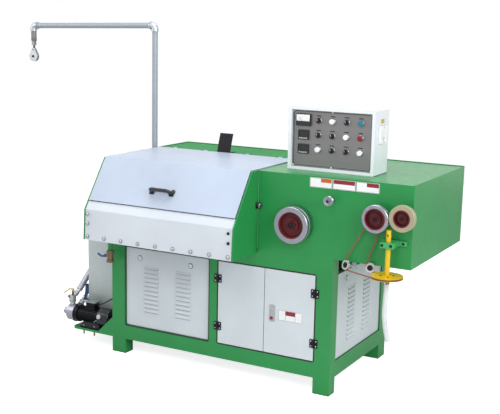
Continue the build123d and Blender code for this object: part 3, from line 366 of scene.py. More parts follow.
# a grey far lighter than the black motor: painted reflection of the sky on the terminal box lid
lidReflectionGrey = paint("lidReflectionGrey", (0.17, 0.185, 0.21), gloss=0.2, coat=0.8, wear=0.1, edge=0.0012,
                 grime=0, sheen=0.7)
faceGrey = metal("faceGrey", (0.25, 0.243, 0.245), gloss=0.46, brushed=(1, 60, 60), mottled=0.08,
                 bump=0.03, scale=30)
groundSteel = metal("groundSteel", (0.36, 0.365, 0.42), gloss=0.34, mottled=0.06)
idlerSteel = metal("idlerSteel", (0.6, 0.61, 0.62), mottled=0.08)
pipeSteel = metal("pipeSteel", (0.33, 0.37, 0.41), gloss=0.4, mottled=0.02, bump=0.01, scale=9, metallic=0.2)
dropSteel = metal("dropSteel", (0.2, 0.2, 0.21), gloss=0.42, tarnish=(0.13, 0.1, 0.09), scale=40,
                  metallic=0.4)
fittingSteel = metal("fittingSteel", (0.5, 0.535, 0.57), gloss=0.34, mottled=0.1, bump=0.1, scale=70,
                     metallic=0.6)
rustySteel = metal("rustySteel", (0.17, 0.14, 0.13), gloss=0.55, mottled=0.2,
                   tarnish=(0.2, 0.085, 0.04), bump=0.2, metallic=0.4)
brightSteel = metal("brightSteel", (0.62, 0.63, 0.66), gloss=0.2, mottled=0.05, bump=0.02)
darkChrome = metal("darkChrome", (0.2, 0.2, 0.22), gloss=0.16, mottled=0.05, bump=0.02)
zincSteel = metal("zincSteel", (0.4, 0.44, 0.47), gloss=0.42, mottled=0.16,
                  tarnish=(0.26, 0.28, 0.29), scale=24)
castAluminium = metal("castAluminium", (0.46, 0.48, 0.51), gloss=0.46, mottled=0.07, bump=0.2, scale=240)
darkIron = metal("darkIron", (0.2, 0.17, 0.15), gloss=0.55, mottled=0.2, tarnish=(0.12, 0.05, 0.03),
                 bump=0.2, scale=90)
castBrass = metal("castBrass", (0.2, 0.15, 0.09), gloss=0.4, mottled=0.15,
                  tarnish=(0.13, 0.09, 0.05), bump=0.15, scale=160)
creamRubber = plastic("creamRubber", (0.34, 0.31, 0.2))
blackRubber = plastic("blackRubber", (0.011, 0.011, 0.012), gloss=0.55, scale=300)
beltRubber = plastic("beltRubber", (0.26, 0.05, 0.03), gloss=0.5)
whiteHose = plastic("whiteHose", (0.62, 0.66, 0.68))
blackPlastic = plastic("blackPlastic", (0.014, 0.015, 0.017), gloss=0.38)
instrumentBlack = plastic("instrumentBlack", (0.016, 0.017, 0.02), gloss=0.3)
# a dark grey for the painted shadows under the louvres
louvreShadowGrey = plastic("louvreShadowGrey", (0.1, 0.115, 0.11), gloss=0.7)
whitePlastic = plastic("whitePlastic", (0.86, 0.88, 0.9), gloss=0.3, cloud=0.03)
redPlastic = plastic("redPlastic", (0.24, 0.008, 0.02), gloss=0.32)
tealPlastic = plastic("tealPlastic", (0.012, 0.19, 0.25), gloss=0.32)
lockGrey = plastic("lockGrey", (0.4, 0.42, 0.44), cloud=0.04)
blueVinyl = plastic("blueVinyl", (0.01, 0.055, 0.24), gloss=0.35)
paleVinyl = plastic("paleVinyl", (0.58, 0.51, 0.28))
displayGlass = plastic("displayGlass", (0.055, 0.06, 0.06), gloss=0.14, bump=0)
labelWhite = plastic("labelWhite", (0.82, 0.84, 0.86), gloss=0.45, cloud=0.03)
labelOrange = plastic("labelOrange", (0.55, 0.11, 0.015), gloss=0.45)
labelRed = plastic("labelRed", (0.24, 0.012, 0.022), gloss=0.45)
plateYellow = plastic("plateYellow", (0.55, 0.4, 0.03), gloss=0.45)
outletHose.data.materials.append(whiteHose)
pumpCable.data.materials.append(blackRubber)
print("materials ready")

nodeFinish = {
    machineGreen: ["legs", "rails", "right_housing", "hood_side_plates", "drain_pipe", "pump_platform",
                   "lid_hinges"],
    rearGreen: ["rear_housing"],
    bracketLitGreen: ["tube_bracket"],
    panelGrey: ["vent_panels", "plain_panels", "left_door", "right_door", "cabinet_floor", "chamber_tray"],
    coverWhite: ["hood_cover"],
    lidBlue: ["hood_lid"],
    tankGrey: ["coolant_tank"],
    boxWhite: ["control_box"],
    faceGrey: ["control_plate"],
    safetyYellow: ["laying_tube", "laying_disc"],
    capstanRed: ["capstan_hub"],
    pullRed: ["pull_wheel_hub"],
    pressRed: ["press_wheel_hub"],
    blackEnamel: ["door_hinges", "left_door_leaves", "right_door_leaves", "lid_rest", "wheel_bearings"],
    motorBlack: ["pump_motor"],
    groundSteel: ["capstan_rim", "pull_wheel_rim", "guide_roller", "pump_head"],
    idlerSteel: ["left_idler", "right_idler"],
    brightSteel: ["panel_latches", "push_buttons"],
    darkChrome: ["wire_guide"],
    zincSteel: ["idler_axles"],
    pipeSteel: ["guide_pipes"],
    fittingSteel: ["pipe_elbows", "coolant_pipes", "pulley_block"],
    castAluminium: ["pulley_sheave"],
    darkIron: ["drive_pulley"],
    castBrass: ["brass_valves"],
    creamRubber: ["press_wheel_rim"],
    blackPlastic: ["lid_handle", "selector_knobs"],
    whitePlastic: ["side_socket"],
    lockGrey: ["door_lock"],
    blueVinyl: ["drain_lever", "suction_lever"],
    paleVinyl: ["delivery_lever"],
    beltRubber: ["drive_belt"],
    instrumentBlack: ["panel_instruments"],
}


def dressNodes():
    for finish, names in nodeFinish.items():
        for name in names:
            for slot in nodes[name].material_slots:
                slot.material = finish


dressNodes()
print("CAD nodes dressed")

usualSlots = {  # each slot and its finishes, unless a piece names another slot
    "black_steel": (blackEnamel, darkChrome), "bright_steel": (brightSteel,), "zinc_steel": (zincSteel,),
    "cast_aluminium": (castAluminium, fittingSteel, groundSteel), "brass": (castBrass,),
    "dark_iron": (darkIron, rustySteel, dropSteel), "motor_black": (motorBlack, cowlSlate, lidReflectionGrey),
    "black_plastic": (blackPlastic, instrumentBlack, louvreShadowGrey), "black_rubber": (blackRubber,),
    "pale_plastic": (whitePlastic, labelWhite, lockGrey), "instrument_case": (displayGlass,),
    "red_paint": (redPlastic, labelRed, labelOrange, pullRed, pressRed),
    "machine_green": (seamHighlightGreen,), "yellow_paint": (plateYellow,),
}
slotOf = {finish: slot for slot, finishes in usualSlots.items() for finish in finishes}
tiny = 1e-6  # metres: places closer than this count as one


def switch(mode):
    bpy.ops.object.mode_set(mode=mode)


def clearPick(kind):
    bpy.ops.mesh.select_mode(type=kind)
    bpy.ops.mesh.select_all(action="DESELECT")


def freshStart():
    if bpy.context.object and bpy.context.object.mode != "OBJECT":
        switch("OBJECT")
    bpy.ops.object.select_all(action="DESELECT")


def hold(piece):
    freshStart()
    piece.select_set(True)
    bpy.context.view_layer.objects.active = piece


def openMesh(piece, kind):
    hold(piece)
    switch("EDIT")
    clearPick(kind)
    switch("OBJECT")


def pickFaces(piece, wanted):
    # leaves edit mode on, with those faces selected
    openMesh(piece, "FACE")
    for face in piece.data.polygons:
        face.select = wanted(face.normal)
    switch("EDIT")


def roundEdges(piece, wanted, edge, rounds=2):
    openMesh(piece, "EDGE")
    spots = [vertex.co for vertex in piece.data.vertices]
    for side in piece.data.edges:
        side.select = wanted(*(spots[index] for index in side.vertices))
    switch("EDIT")
    bpy.ops.mesh.bevel(offset=edge / 1000, segments=rounds, affect="EDGES")
    switch("OBJECT")


def bridgeRims():
    # joins the two rims that deleted faces leave open, then leaves edit mode
    clearPick("EDGE")
    bpy.ops.mesh.select_non_manifold()
    bpy.ops.mesh.bridge_edge_loops()
    switch("OBJECT")


def swing(piece, angle, pivot):
    # turns the mesh about an axis along Y
    hold(piece)
    switch("EDIT")
    bpy.ops.mesh.select_all(action="SELECT")
    bpy.ops.transform.rotate(value=math.radians(angle), orient_axis="Y", center_override=place(*pivot))
    switch("OBJECT")


def applyPlace(piece):
    hold(piece)
    bpy.ops.object.transform_apply(location=True, rotation=True, scale=True)


def settle(piece, name, finish, body="machine", slot=None, angle=35):
    # gives a finished shape its name, finish and body; its slot is looked up but not given
    applyPlace(piece)
    piece.name = name
    piece.data.name = name
    piece.data.materials.append(finish)
    bpy.ops.object.shade_smooth_by_angle(angle=math.radians(angle))
    slot = slot or slotOf[finish]
    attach(piece, body)


def addSlab(low, high, edge=0, rounds=2, alongY=False):
    # a block between two corners in millimetres; its edges, or only those along Y, are rounded
    low, high = place(*low), place(*high)
    freshStart()
    bpy.ops.mesh.primitive_cube_add(size=1, location=(low + high) / 2, scale=high - low)
    piece = bpy.context.active_object
    applyPlace(piece)
    if edge:
        roundEdges(piece, lambda a, b: not alongY or abs(a.y - b.y) > tiny, edge, rounds)
    return piece


def addRound(radius, height, steps=(), sides=24, edge=0):
    # a turned model that stands on z = 0: each step raises the end by so much and scales it
    freshStart()
    bpy.ops.mesh.primitive_cylinder_add(
        vertices=sides, radius=radius / 1000, depth=height / 1000, location=(0, 0, height / 2000))
    piece = bpy.context.active_object
    applyPlace(piece)
    if edge:
        roundEdges(piece, lambda a, b: min(a.z, b.z) > height / 1000 - tiny, edge)
    pickFaces(piece, lambda normal: normal.z > 0.99)
    for rise, factor in steps:
        bpy.ops.mesh.extrude_region_move(TRANSFORM_OT_translate={"value": (0, 0, rise / 1000)})
        bpy.ops.transform.resize(value=(factor, factor, 1), center_override=(0, 0, 0))
    switch("OBJECT")
    return piece


def addBar(wide, tall, thick, edge):
    # a thin plate that faces z at the origin, its four corners rounded
    freshStart()
    bpy.ops.mesh.primitive_cube_add(size=1, scale=(wide / 1000, tall / 1000, thick / 1000))
    bar = bpy.context.active_object
    applyPlace(bar)
    roundEdges(bar, lambda a, b: abs(a.z - b.z) > tiny, edge)
    return bar


def addFrame(x0, x1, z0, z1, y, width, corner, thick):
    # a flat frame on a plane that faces the front
    piece = addSlab((x0, y - thick, z0), (x1, y, z1), corner, 6, alongY=True)
    pickFaces(piece, lambda normal: abs(normal.y) > 0.9)
    bpy.ops.mesh.inset(thickness=width / 1000)
    bpy.ops.mesh.delete(type="FACE")
    bridgeRims()
    return piece


def scatter(model, name, spots, facing, finish, body="machine", slot=None, angle=35):
    # one copy of the model on each spot, its head towards the facing, joined as one piece
    turn = Vector(facing).to_track_quat("Z", "Y").to_matrix().to_4x4()
    copies = []
    for spot in spots:
        copy = model.copy()
        copy.data = model.data.copy()
        bpy.context.scene.collection.objects.link(copy)
        copy.matrix_world = Matrix.Translation(place(*spot)) @ turn
        copies.append(copy)
    bpy.data.objects.remove(model)
    freshStart()
    for copy in copies:
        copy.select_set(True)
    bpy.context.view_layer.objects.active = copies[0]
    if len(copies) > 1:
        bpy.ops.object.join()
    settle(copies[0], name, finish, body, slot, angle)


def ringOffsets(count, reach, first):
    # pairs of offsets round a circle, from a first angle in degrees
    angles = [math.radians(first + 360 / count * i) for i in range(count)]
    return [(reach * math.cos(angle), reach * math.sin(angle)) for angle in angles]


def panScrew(radius, height):
    # a domed head with a round driver recess
    dome = [(height * 0.3, 0.9), (height * 0.25, 0.72), (0, 0.45), (-height * 0.4, 0.8)]
    return addRound(radius, height * 0.45, dome, 16)


def hexBolt(across, height):
    # a washer's chamfered ring with a six-sided head on it
    washer = addRound(across * 0.72, height * 0.22, [(height * 0.06, 0.94)])
    head = addRound(across * 0.56, height * 0.8, [(height * 0.2, 0.86)], 6)
    hold(washer)
    head.select_set(True)
    bpy.ops.object.join()
    return washer


coverScrews = {
    "screw": (8, 4.6), "washer": (9.6, 0.8), "face": -261, "washerShadeFace": -263,
    "left": 28, "right": 922, "low": 738, "count": 9, "sides": (810, 862),
}


def buildCoverScrews():
    c = coverScrews
    pitch = (c["right"] - c["left"]) / (c["count"] - 1)
    spots = [(c["left"] + i * pitch, c["face"], c["low"]) for i in range(c["count"])]
    spots += [(c["left"], c["face"], z) for z in c["sides"]]
    darkOnes = [(c["right"], c["face"], z) for z in c["sides"]]
    scatter(panScrew(*c["screw"]), "coverDarkScrews", darkOnes, toFront, blackEnamel)
    scatter(panScrew(*c["screw"]), "coverScrews", spots, toFront, brightSteel)
    # thin washers under the screws, made dark as a painted shadow round each head
    seats = [(x, c["washerShadeFace"], z) for x, y, z in spots]
    scatter(addRound(*c["washer"]), "coverWasherShadows", seats, toFront, darkChrome)


buildCoverScrews()

handleFeet = {
    "spots": ((393, -167, 1022), (527, -167, 1022)), "facing": (0, -0.8225, 0.5687),
    "shape": (13, 4, ((3, 0.86), (2, 0.7)), 28, 0.8),  # as addRound takes them
}
guideBall = {"spot": (951, -16, 973), "neck": 8, "neckLong": 4, "radius": 13, "turns": 9, "first": -48}


def buildHandleFeet():
    f = handleFeet
    scatter(addRound(*f["shape"]), "handleFeet", f["spots"], f["facing"], blackPlastic, "lid")


def buildGuideBall():
    g = guideBall
    steps, wide = [], g["neck"]
    turn = (90 - g["first"]) / g["turns"]
    for i in range(1, g["turns"]):
        low, high = (math.radians(g["first"] + turn * share) for share in (i - 1, i))
        reach = g["radius"] * math.cos(high)
        steps.append((g["radius"] * (math.sin(high) - math.sin(low)), reach / wide))
        wide = reach
    ball = addRound(g["neck"], g["neckLong"], steps, 28)
    scatter(ball, "guideBall", [g["spot"]], toRight, darkChrome, slot="bright_steel", angle=60)


buildHandleFeet()
buildGuideBall()

labels = {
    "strip": (1245, 1627, 1100, 1150), "aside": 2, "margin": 4,
    "heads": ((0.5, 1, labelOrange), (0, 1, labelRed), (0.45, 1, labelRed)),
    "door": (1086, 1229, 366, 425), "doorHead": (0.3, 0.7),
    "thick": 0.8, "edge": 2, "headLow": 0.56, "headHigh": 0.94, "headRaised": 0.3, "headEdge": 0.8,
    "line": (0.6, 0.25, 2), "trim": (1.2, 2, 0.25), "trimIn": 1.5,
}


def addLabel(name, tail, body, area, across, tone, lines=()):
    # a pale plate on the front's plane with a coloured head, upright lines and a dark border
    n = labels
    x0, x1, z0, z1 = area
    face, tall, edgeIn = -n["thick"], z1 - z0, n["trimIn"]
    plate = addSlab((x0, face, z0), (x1, 0, z1), n["edge"], 3, alongY=True)
    settle(plate, f"{name}{tail}", labelWhite, body)
    head = addSlab((across[0], face - n["headRaised"], z0 + n["headLow"] * tall),
                   (across[1], face, z0 + n["headHigh"] * tall), n["headEdge"], alongY=True)
    settle(head, f"{name}Head{tail}", tone, body)
    half, raised, short = n["line"]
    for i, x in enumerate(lines):
        line = addSlab((x - half, face - raised, z0 + short), (x + half, face, z1 - short), 0.2, 1)
        settle(line, f"{name}Line.{i}", blackPlastic, body)
    trim = addFrame(x0 + edgeIn, x1 - edgeIn, z0 + edgeIn, z1 - edgeIn, face, *n["trim"])
    settle(trim, f"{name}Trim{tail}", blackPlastic, body)


def buildLabels():
    n = labels
    low, high, z0, z1 = n["strip"]
    wide = (high - low) / len(n["heads"])
    for i, (start, end, tone) in enumerate(n["heads"]):
        x0, x1 = low + i * wide + n["aside"], low + (i + 1) * wide - n["aside"]
        inner = x1 - x0 - 2 * n["margin"]
        across = [x0 + n["margin"] + share * inner for share in (start, end)]
        addLabel("frontLabel", f".{i}", "machine", (x0, x1, z0, z1), across, tone)
    x0, x1 = n["door"][:2]
    across = [x0 + share * (x1 - x0) for share in n["doorHead"]]
    addLabel("doorLabel", "", "right_door", n["door"], across, labelRed, lines=across)


buildLabels()
print("screws and labels on")

seals = {
    "width": 4.5, "corner": 13, "thick": 0.9, "low": 174, "high": 641,
    "across": {"doorSeal": (712, 1298), "ventSeal": (94, 654)},
}


def buildSeals():
    width, low, high = (seals[key] for key in ("width", "low", "high"))
    for name, (x0, x1) in seals["across"].items():
        seal = addFrame(x0 - width, x1 + width, low - width, high + width, 0,
                        width, seals["corner"], seals["thick"])
        settle(seal, name, blackRubber)


hinges = {
    "sides": ((713.5, 1, "left_door"), (1296.5, -1, "right_door")),  # x, inward way, door
    "heights": (273, 542), "aside": 14, "apart": 13, "screw": (3.6, 2), "face": -3,
}


def buildHingeScrews():
    h = hinges
    groups = {"machine": [], "left_door": [], "right_door": []}
    for x, inward, door in h["sides"]:
        for z in h["heights"]:
            for offset in (-h["apart"], h["apart"]):
                groups["machine"].append((x - inward * h["aside"], h["face"], z + offset))
                groups[door].append((x + inward * h["aside"], h["face"], z + offset))
    for body, spots in groups.items():
        scatter(panScrew(*h["screw"]), f"hingeScrews.{body}", spots, toFront, brightSteel, body)


lock = {
    "button": (1041, 1057, 366, 382), "buttonFace": -6, "buttonThick": 1.6,
    "key": (1049, -2.5, 424), "barrel": (7, 1.6, ((0, 0.8), (-0.9, 0.95)), 24, 0.4),
    "slit": (0.9, 4), "slitRaised": (0.4, 1.2),
}


def buildDoorLock():
    k = lock
    x0, x1, z0, z1 = k["button"]
    button = addSlab((x0, k["buttonFace"] - k["buttonThick"], z0), (x1, k["buttonFace"], z1), 1)
    settle(button, "lockButton", redPlastic, "right_door")
    scatter(addRound(*k["barrel"]), "lockBarrel", [k["key"]], toFront, brightSteel, "right_door")
    (x, y, z), (long, tall), (near, far) = k["key"], k["slit"], k["slitRaised"]
    slit = addSlab((x - long, y - far, z - tall), (x + long, y - near, z + tall), 0.3, 1)
    settle(slit, "lockSlit", blackPlastic, "right_door")


buildSeals()
buildHingeScrews()
buildDoorLock()

latches = {
    "front": ((191, 8, 583), (530, 8, 583)), "side": (1384, 208, 596),
    "ring": (15.5, 0.9, ((0, 0.9),), 32), "slit": (6.6, 1), "slitRaised": (2.6, 3.4),
}


def buildLatchTrim():
    t = latches
    (long, tall), (near, far) = t["slit"], t["slitRaised"]
    scatter(addRound(*t["ring"]), "latchRings", t["front"], toFront, blackRubber)
    scatter(addRound(*t["ring"]), "sideLatchRing", [t["side"]], toRight, blackRubber)
    for i, (x, y, z) in enumerate(t["front"]):
        slit = addSlab((x - long, y - far, z - tall), (x + long, y - near, z + tall), 0.2, 1)
        settle(slit, f"latchSlit.{i}", blackPlastic)
    x, y, z = t["side"]
    slit = addSlab((x + near, y - long, z - tall), (x + far, y + long, z + tall), 0.2, 1)
    settle(slit, "sideLatchSlit", blackPlastic)


louvres = {
    "wide": 93, "tall": 3.6, "thick": 0.5, "edge": 1, "pitch": 25.5, "half": 7,
    "front": {"across": (267, 481), "face": 7.8, "top": 535, "count": 11},
    "side": {"across": (279, 493), "face": 1384.2, "top": 538, "count": 12, "tall": 8.6, "less": 0.25},
}


def buildLouvreShadows():
    # painted shadow: a dark strip on the panel under each pressed louvre's lip, where its shade falls
    v = louvres
    front, side = v["front"], v["side"]
    drop = v["half"] + v["tall"] / 2
    spots = [(x, front["face"], front["top"] - drop - i * v["pitch"])
             for x in front["across"] for i in range(front["count"])]
    bar = addBar(v["wide"], v["tall"], v["thick"], v["edge"])
    scatter(bar, "frontLouvreShadows", spots, toFront, louvreShadowGrey)
    # the side strips of painted shadow grow thinner downwards, as the lower louvres take more light from the
    # floor
    for i in range(side["count"]):
        tall = side["tall"] - side["less"] * i
        z = side["top"] - v["half"] - tall / 2 - i * v["pitch"]
        bar = addBar(v["wide"], tall, v["thick"], v["edge"])
        spots = [(side["face"], y, z) for y in side["across"]]
        scatter(bar, f"sideLouvreShadows.{i}", spots, toRight, louvreShadowGrey)


highlightStrip = {"x": 950.6, "wide": 2.2, "low": 742, "high": 1152, "thick": 0.9, "edge": 0.3}


def buildCornerHighlight():
    # a pale bead in the joint where the hood's right plate meets the housing, its pale green a painted
    # highlight of that edge
    m = highlightStrip
    bead = addSlab((m["x"], -m["thick"], m["low"]), (m["x"] + m["wide"], 0, m["high"]), m["edge"])
    settle(bead, "cornerHighlight", seamHighlightGreen)


buildLatchTrim()
buildLouvreShadows()
buildCornerHighlight()
print("door fittings on")

panel = {
    "left": 1043, "low": 1157, "face": 166,
    "rows": 3, "columns": 4, "firstX": 166, "firstZ": 264, "pitchX": 79, "pitchZ": 75.5,
    "bezel": (17, 2.6, ((1.2, 0.93), (0, 0.9), (-1.4, 1)), 32),
    "cap": (13.5, 10.2, ((0.9, 0.94), (0.5, 0.8)), 32), "capOut": (6.3, 0),
    "caps": (  # name, row and column of each, finish
        ("whiteCaps", ((0, 1), (1, 2), (2, 0), (2, 3)), whitePlastic),
        ("tealCaps", ((0, 3),), tealPlastic), ("redCaps", ((1, 3),), redPlastic),
    ),
    "bar": (26, 5, 0.5, 1), "barOut": (0.25, 25),
    "knobs": ((0, 0), (0, 2), (1, 0), (1, 1), (2, 1), (2, 2)),
    "pointer": (1.6, 10, 0.6, 0.4), "pointerOut": (24.2, 5),  # forward and up
    "across": (24, 463), "up": (24, 310), "trim": (2.2, 5, 0.5), "screw": (4.2, 2.4), "screwOut": 1,
}


def controlSpot(row, column, forward=0, rise=0):
    p = panel
    return (p["left"] + p["firstX"] + column * p["pitchX"], p["face"] - forward,
            p["low"] + p["firstZ"] - row * p["pitchZ"] + rise)


def buildControls():
    p = panel
    cells = [(row, column) for row in range(p["rows"]) for column in range(p["columns"])]
    spots = [controlSpot(*cell) for cell in cells]
    scatter(addRound(*p["bezel"]), "controlBezels", spots, toFront, groundSteel, slot="bright_steel")
    for name, places, finish in p["caps"]:
        spots = [controlSpot(*cell, *p["capOut"]) for cell in places]
        scatter(addRound(*p["cap"]), name, spots, toFront, finish, slot="button_caps")
    spots = [controlSpot(*cell, *p["barOut"]) for cell in cells]
    scatter(addBar(*p["bar"]), "controlBars", spots, toFront, instrumentBlack)
    spots = [controlSpot(*cell, *p["pointerOut"]) for cell in p["knobs"]]
    scatter(addBar(*p["pointer"]), "knobPointers", spots, toFront, whitePlastic)


meter = {
    "dial": ((1085, 152, 1413), (1163, 156, 1450)), "dialEdge": 0.8, "pivot": (1124, 153, 1408), "arc": 34,
    "ticks": 9, "first": -40, "step": 10, "major": 4, "long": 5, "short": 3,
    "tick": (0.4, 1, 1.35), "needle": (0.5, 1.4, 1.9),  # half the width, then the near and far faces
    "needleEnds": (8, 30), "lean": 36,
}
displays = {
    "lows": (1318, 1244), "across": (1100, 1150), "glass": (161.4, 162.4, 17, 44), "glassEdge": 0.4,
    "keys": 4, "apart": 1.5, "key": (155.8, 157.2, 4, 11), "keyEdge": 0.6,
}


def addPointer(name, shape, start, end, lean, finish):
    # an upright hand on the dial, from start to end above the pivot, then leaned over
    (x, y, z), (half, near, far) = meter["pivot"], shape
    hand = addSlab((x - half, y - far, z + start), (x + half, y - near, z + end), 0.15, 1)
    swing(hand, lean, meter["pivot"])
    settle(hand, name, finish)


def buildInstruments():
    m, d = meter, displays
    settle(addSlab(*m["dial"], m["dialEdge"]), "meterDial", labelWhite)
    for i in range(m["ticks"]):
        long = m["short"] if i % m["major"] else m["long"]
        lean = m["first"] + m["step"] * i
        addPointer(f"meterTick.{i}", m["tick"], m["arc"] - long, m["arc"], lean, blackPlastic)
    addPointer("meterNeedle", m["needle"], *m["needleEnds"], m["lean"], redPlastic)
    left, right = d["across"]
    wide = (right - left) / d["keys"]
    for i, z in enumerate(d["lows"]):
        y0, y1, z0, z1 = d["glass"]
        glass = addSlab((left, y0, z + z0), (right, y1, z + z1), d["glassEdge"])
        settle(glass, f"displayGlass.{i}", displayGlass)
        y0, y1, z0, z1 = d["key"]
        for k in range(d["keys"]):
            key = addSlab((left + k * wide + d["apart"], y0, z + z0),
                          (left + (k + 1) * wide - d["apart"], y1, z + z1), d["keyEdge"])
            settle(key, f"displayKey.{i}.{k}", lockGrey)


def buildPanelTrim():
    p = panel
    x0, x1 = (p["left"] + share for share in p["across"])
    z0, z1 = (p["low"] + share for share in p["up"])
    settle(addFrame(x0, x1, z0, z1, p["face"], *p["trim"]), "panelTrim", instrumentBlack)
    out = p["screwOut"]
    spots = [(x, p["face"], z) for x in (x0 - out, (x0 + x1) / 2, x1 + out) for z in (z0 - out, z1 + out)]
    scatter(panScrew(*p["screw"]), "panelScrews", spots, toFront, whitePlastic)


socket = {
    "pins": ((1539, 237, 1349), (1539, 255, 1349), (1539, 246, 1337)),
    "pin": (3.2, 0.6, ((0, 0.8), (-0.4, 0.9)), 16),
    "screws": ((1542, 246, 1402), (1542, 246, 1327)), "screw": (3.6, 1.8),
    "plate": ((1530, 226, 1422), (1530.9, 270, 1444)), "plateEdge": 0.4,
}


def buildSocket():
    s = socket
    scatter(addRound(*s["pin"]), "socketPins", s["pins"], toRight, blackPlastic)
    scatter(panScrew(*s["screw"]), "socketScrews", s["screws"], toRight, brightSteel)
    settle(addSlab(*s["plate"], s["plateEdge"]), "sidePlate", plateYellow)


buildControls()
buildInstruments()
buildPanelTrim()
buildSocket()
print("control box finished")

wheelBolts = {
    "height": 6,
    "bolts": (  # wheel, place, size across, body
        ("capstan", (1176, -59, 900), 17, "capstan"), ("pull", (1637, -72, 987), 13, "pull_wheel"),
        ("press", (1773.9, -72, 1004), 11, "press_wheel"), ("roller", (1378, -66, 1047), 14, "machine"),
    ),
}
setScrews = {
    "x": 1176, "y": -57.5, "z": 900, "ring": (3, 27.5, 70),  # count, reach and first angle
    "shape": (3.4, 0.8, ((0, 0.75), (-0.6, 0.9)), 16),
}
hubRings = {
    "thick": 0.8, "sides": 56,
    "rings": (  # name, place, radius, share of it that is open, finish, body
        ("pullHubRing", (1637, -80.2, 987), 53.5, 0.87, pullRed, "pull_wheel"),
        ("pressHubRing", (1773.9, -80.2, 1004), 43, 0.86, pressRed, "press_wheel"),
    ),
}


def buildWheelBolts():
    for wheel, spot, across, body in wheelBolts["bolts"]:
        scatter(hexBolt(across, wheelBolts["height"]), f"{wheel}Bolt", [spot], toFront, blackEnamel, body)


def buildSetScrews():
    s = setScrews
    spots = [(s["x"] + aside, s["y"], s["z"] + rise) for aside, rise in ringOffsets(*s["ring"])]
    scatter(addRound(*s["shape"]), "capstanSetScrews", spots, toFront, blackEnamel, "capstan")


def buildHubRings():
    for name, spot, radius, hole, finish, body in hubRings["rings"]:
        ring = addRound(radius, hubRings["thick"], [(0, hole)], hubRings["sides"])
        switch("EDIT")
        bpy.ops.mesh.delete(type="FACE")  # the end inside the last step is still selected
        pickFaces(ring, lambda normal: normal.z < -0.99)
        bpy.ops.mesh.inset(thickness=radius * (1 - hole) / 1000)
        bpy.ops.mesh.delete(type="FACE")
        bridgeRims()
        scatter(ring, name, [spot], toFront, finish, body)


laying = {
    "hole": (4.2, 0.9, ((0, 0.82), (-0.6, 0.9)), 20), "holeOut": 12.2, "holeZ": 916,
    "discBolt": (6, 3), "discRing": (4, 33, 30), "discTop": 712.5,
    "bracketBolt": (10, 6), "bracketSpots": ((1685, -92, 867), (1731, -92, 867)),
    "earBolt": (9, 6), "earSpots": ((1663, -10, 867), (1764, -10, 867)),
    "clamp": (15.2, 12, ((0, 0.83), (-11.4, 1)), 40, 0.6), "clampLow": 672,
    "clampScrew": (7, 6), "clampScrewAt": (-3, -14.5, 6),
}


def buildLayingGear():
    g, x, y = laying, hose["x"], hose["y"]
    hole = addRound(*g["hole"])
    scatter(hole, "tubeHole", [(x, y - g["holeOut"], g["holeZ"])], toFront, blackPlastic, "laying_gear")
    spots = [(x + aside, y + back, g["discTop"]) for aside, back in ringOffsets(*g["discRing"])]
    scatter(hexBolt(*g["discBolt"]), "discBolts", spots, upward, blackEnamel, "laying_gear")
    scatter(hexBolt(*g["bracketBolt"]), "bracketBolts", g["bracketSpots"], toFront, blackEnamel)
    scatter(hexBolt(*g["earBolt"]), "bracketEarBolts", g["earSpots"], toFront, blackEnamel)
    scatter(addRound(*g["clamp"]), "hoseClamp", [(x, y, g["clampLow"])], upward, darkIron)
    aside, back, rise = g["clampScrewAt"]
    spot = (x + aside, y + back, g["clampLow"] + rise)
    scatter(hexBolt(*g["clampScrew"]), "hoseClampScrew", [spot], toFront, brightSteel)


idlerCaps = {"idlers": ("left_idler", "right_idler"), "out": 8, "bolt": (19, 6)}


def buildIdlerCaps():
    # each faces along its own tilted axle
    axes = {joint["child"]: joint["axis"] for joint in frame["joints"]}
    for name in idlerCaps["idlers"]:
        low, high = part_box(name)
        turn = axes[name]
        spot = drawn((low + high) / 2 + Vector(turn) * idlerCaps["out"] / 1000)
        scatter(hexBolt(*idlerCaps["bolt"]), name.replace("_", "") + "Cap", [spot], turn, blackEnamel)


buildWheelBolts()
buildSetScrews()
buildHubRings()
buildLayingGear()
buildIdlerCaps()
print("wheels and laying gear finished")

motor = {
    "y": 70, "z": 164, "cowlX": -128, "grilleX": -48.8, "flangeX": -311.8,
    "cowl": (59.4, 63.5, ((6, 0.985), (5, 0.955), (3, 0.93), (1, 0.94)), 48),
    "grille": (34, 1.2, ((0, 0.9), (-0.8, 1), (0, 0.8), (0.8, 1), (0, 0.85), (-0.8, 1),
                         (0, 0.7), (0.8, 1), (0, 0.7), (-0.8, 1)), 40),
    "badge": (14, 1.2, ((0, 0.8), (-0.8, 1), (0, 0.55), (0.6, 0.9)), 32),
    "badgeSpot": (-114, 13.6, 182.5), "badgeTurn": (0, -0.95, 0.31),
    "feet": ((-225, 18), (-148, 18), (-225, 122), (-148, 122)), "footBolt": (13, 7), "footTop": 109,
    "footNut": (13, 8), "footUnder": 87, "stud": (4.5, 20, ((2, 0.7),), 16), "studTop": 81, "studs": 2,
    "lidScrew": (3.4, 1.8), "lidSpots": [(x, y, 256) for x in (-237, -169) for y in (51, 89)],
    "lid": ((-248, 40, 246), (-158, 100, 256), 3.5, 3), "skirt": ((-248, 6, 100.2), (-52, 134, 112), 5, 3),
    "dot": (4, 2.2), "dotSpots": ((-137, 21.5, 151), (-152, 23.5, 143)), "dotTurn": (0, -0.95, -0.3),
    "flangeBolt": (8, 5), "flangeRing": (6, 49, 30),
}


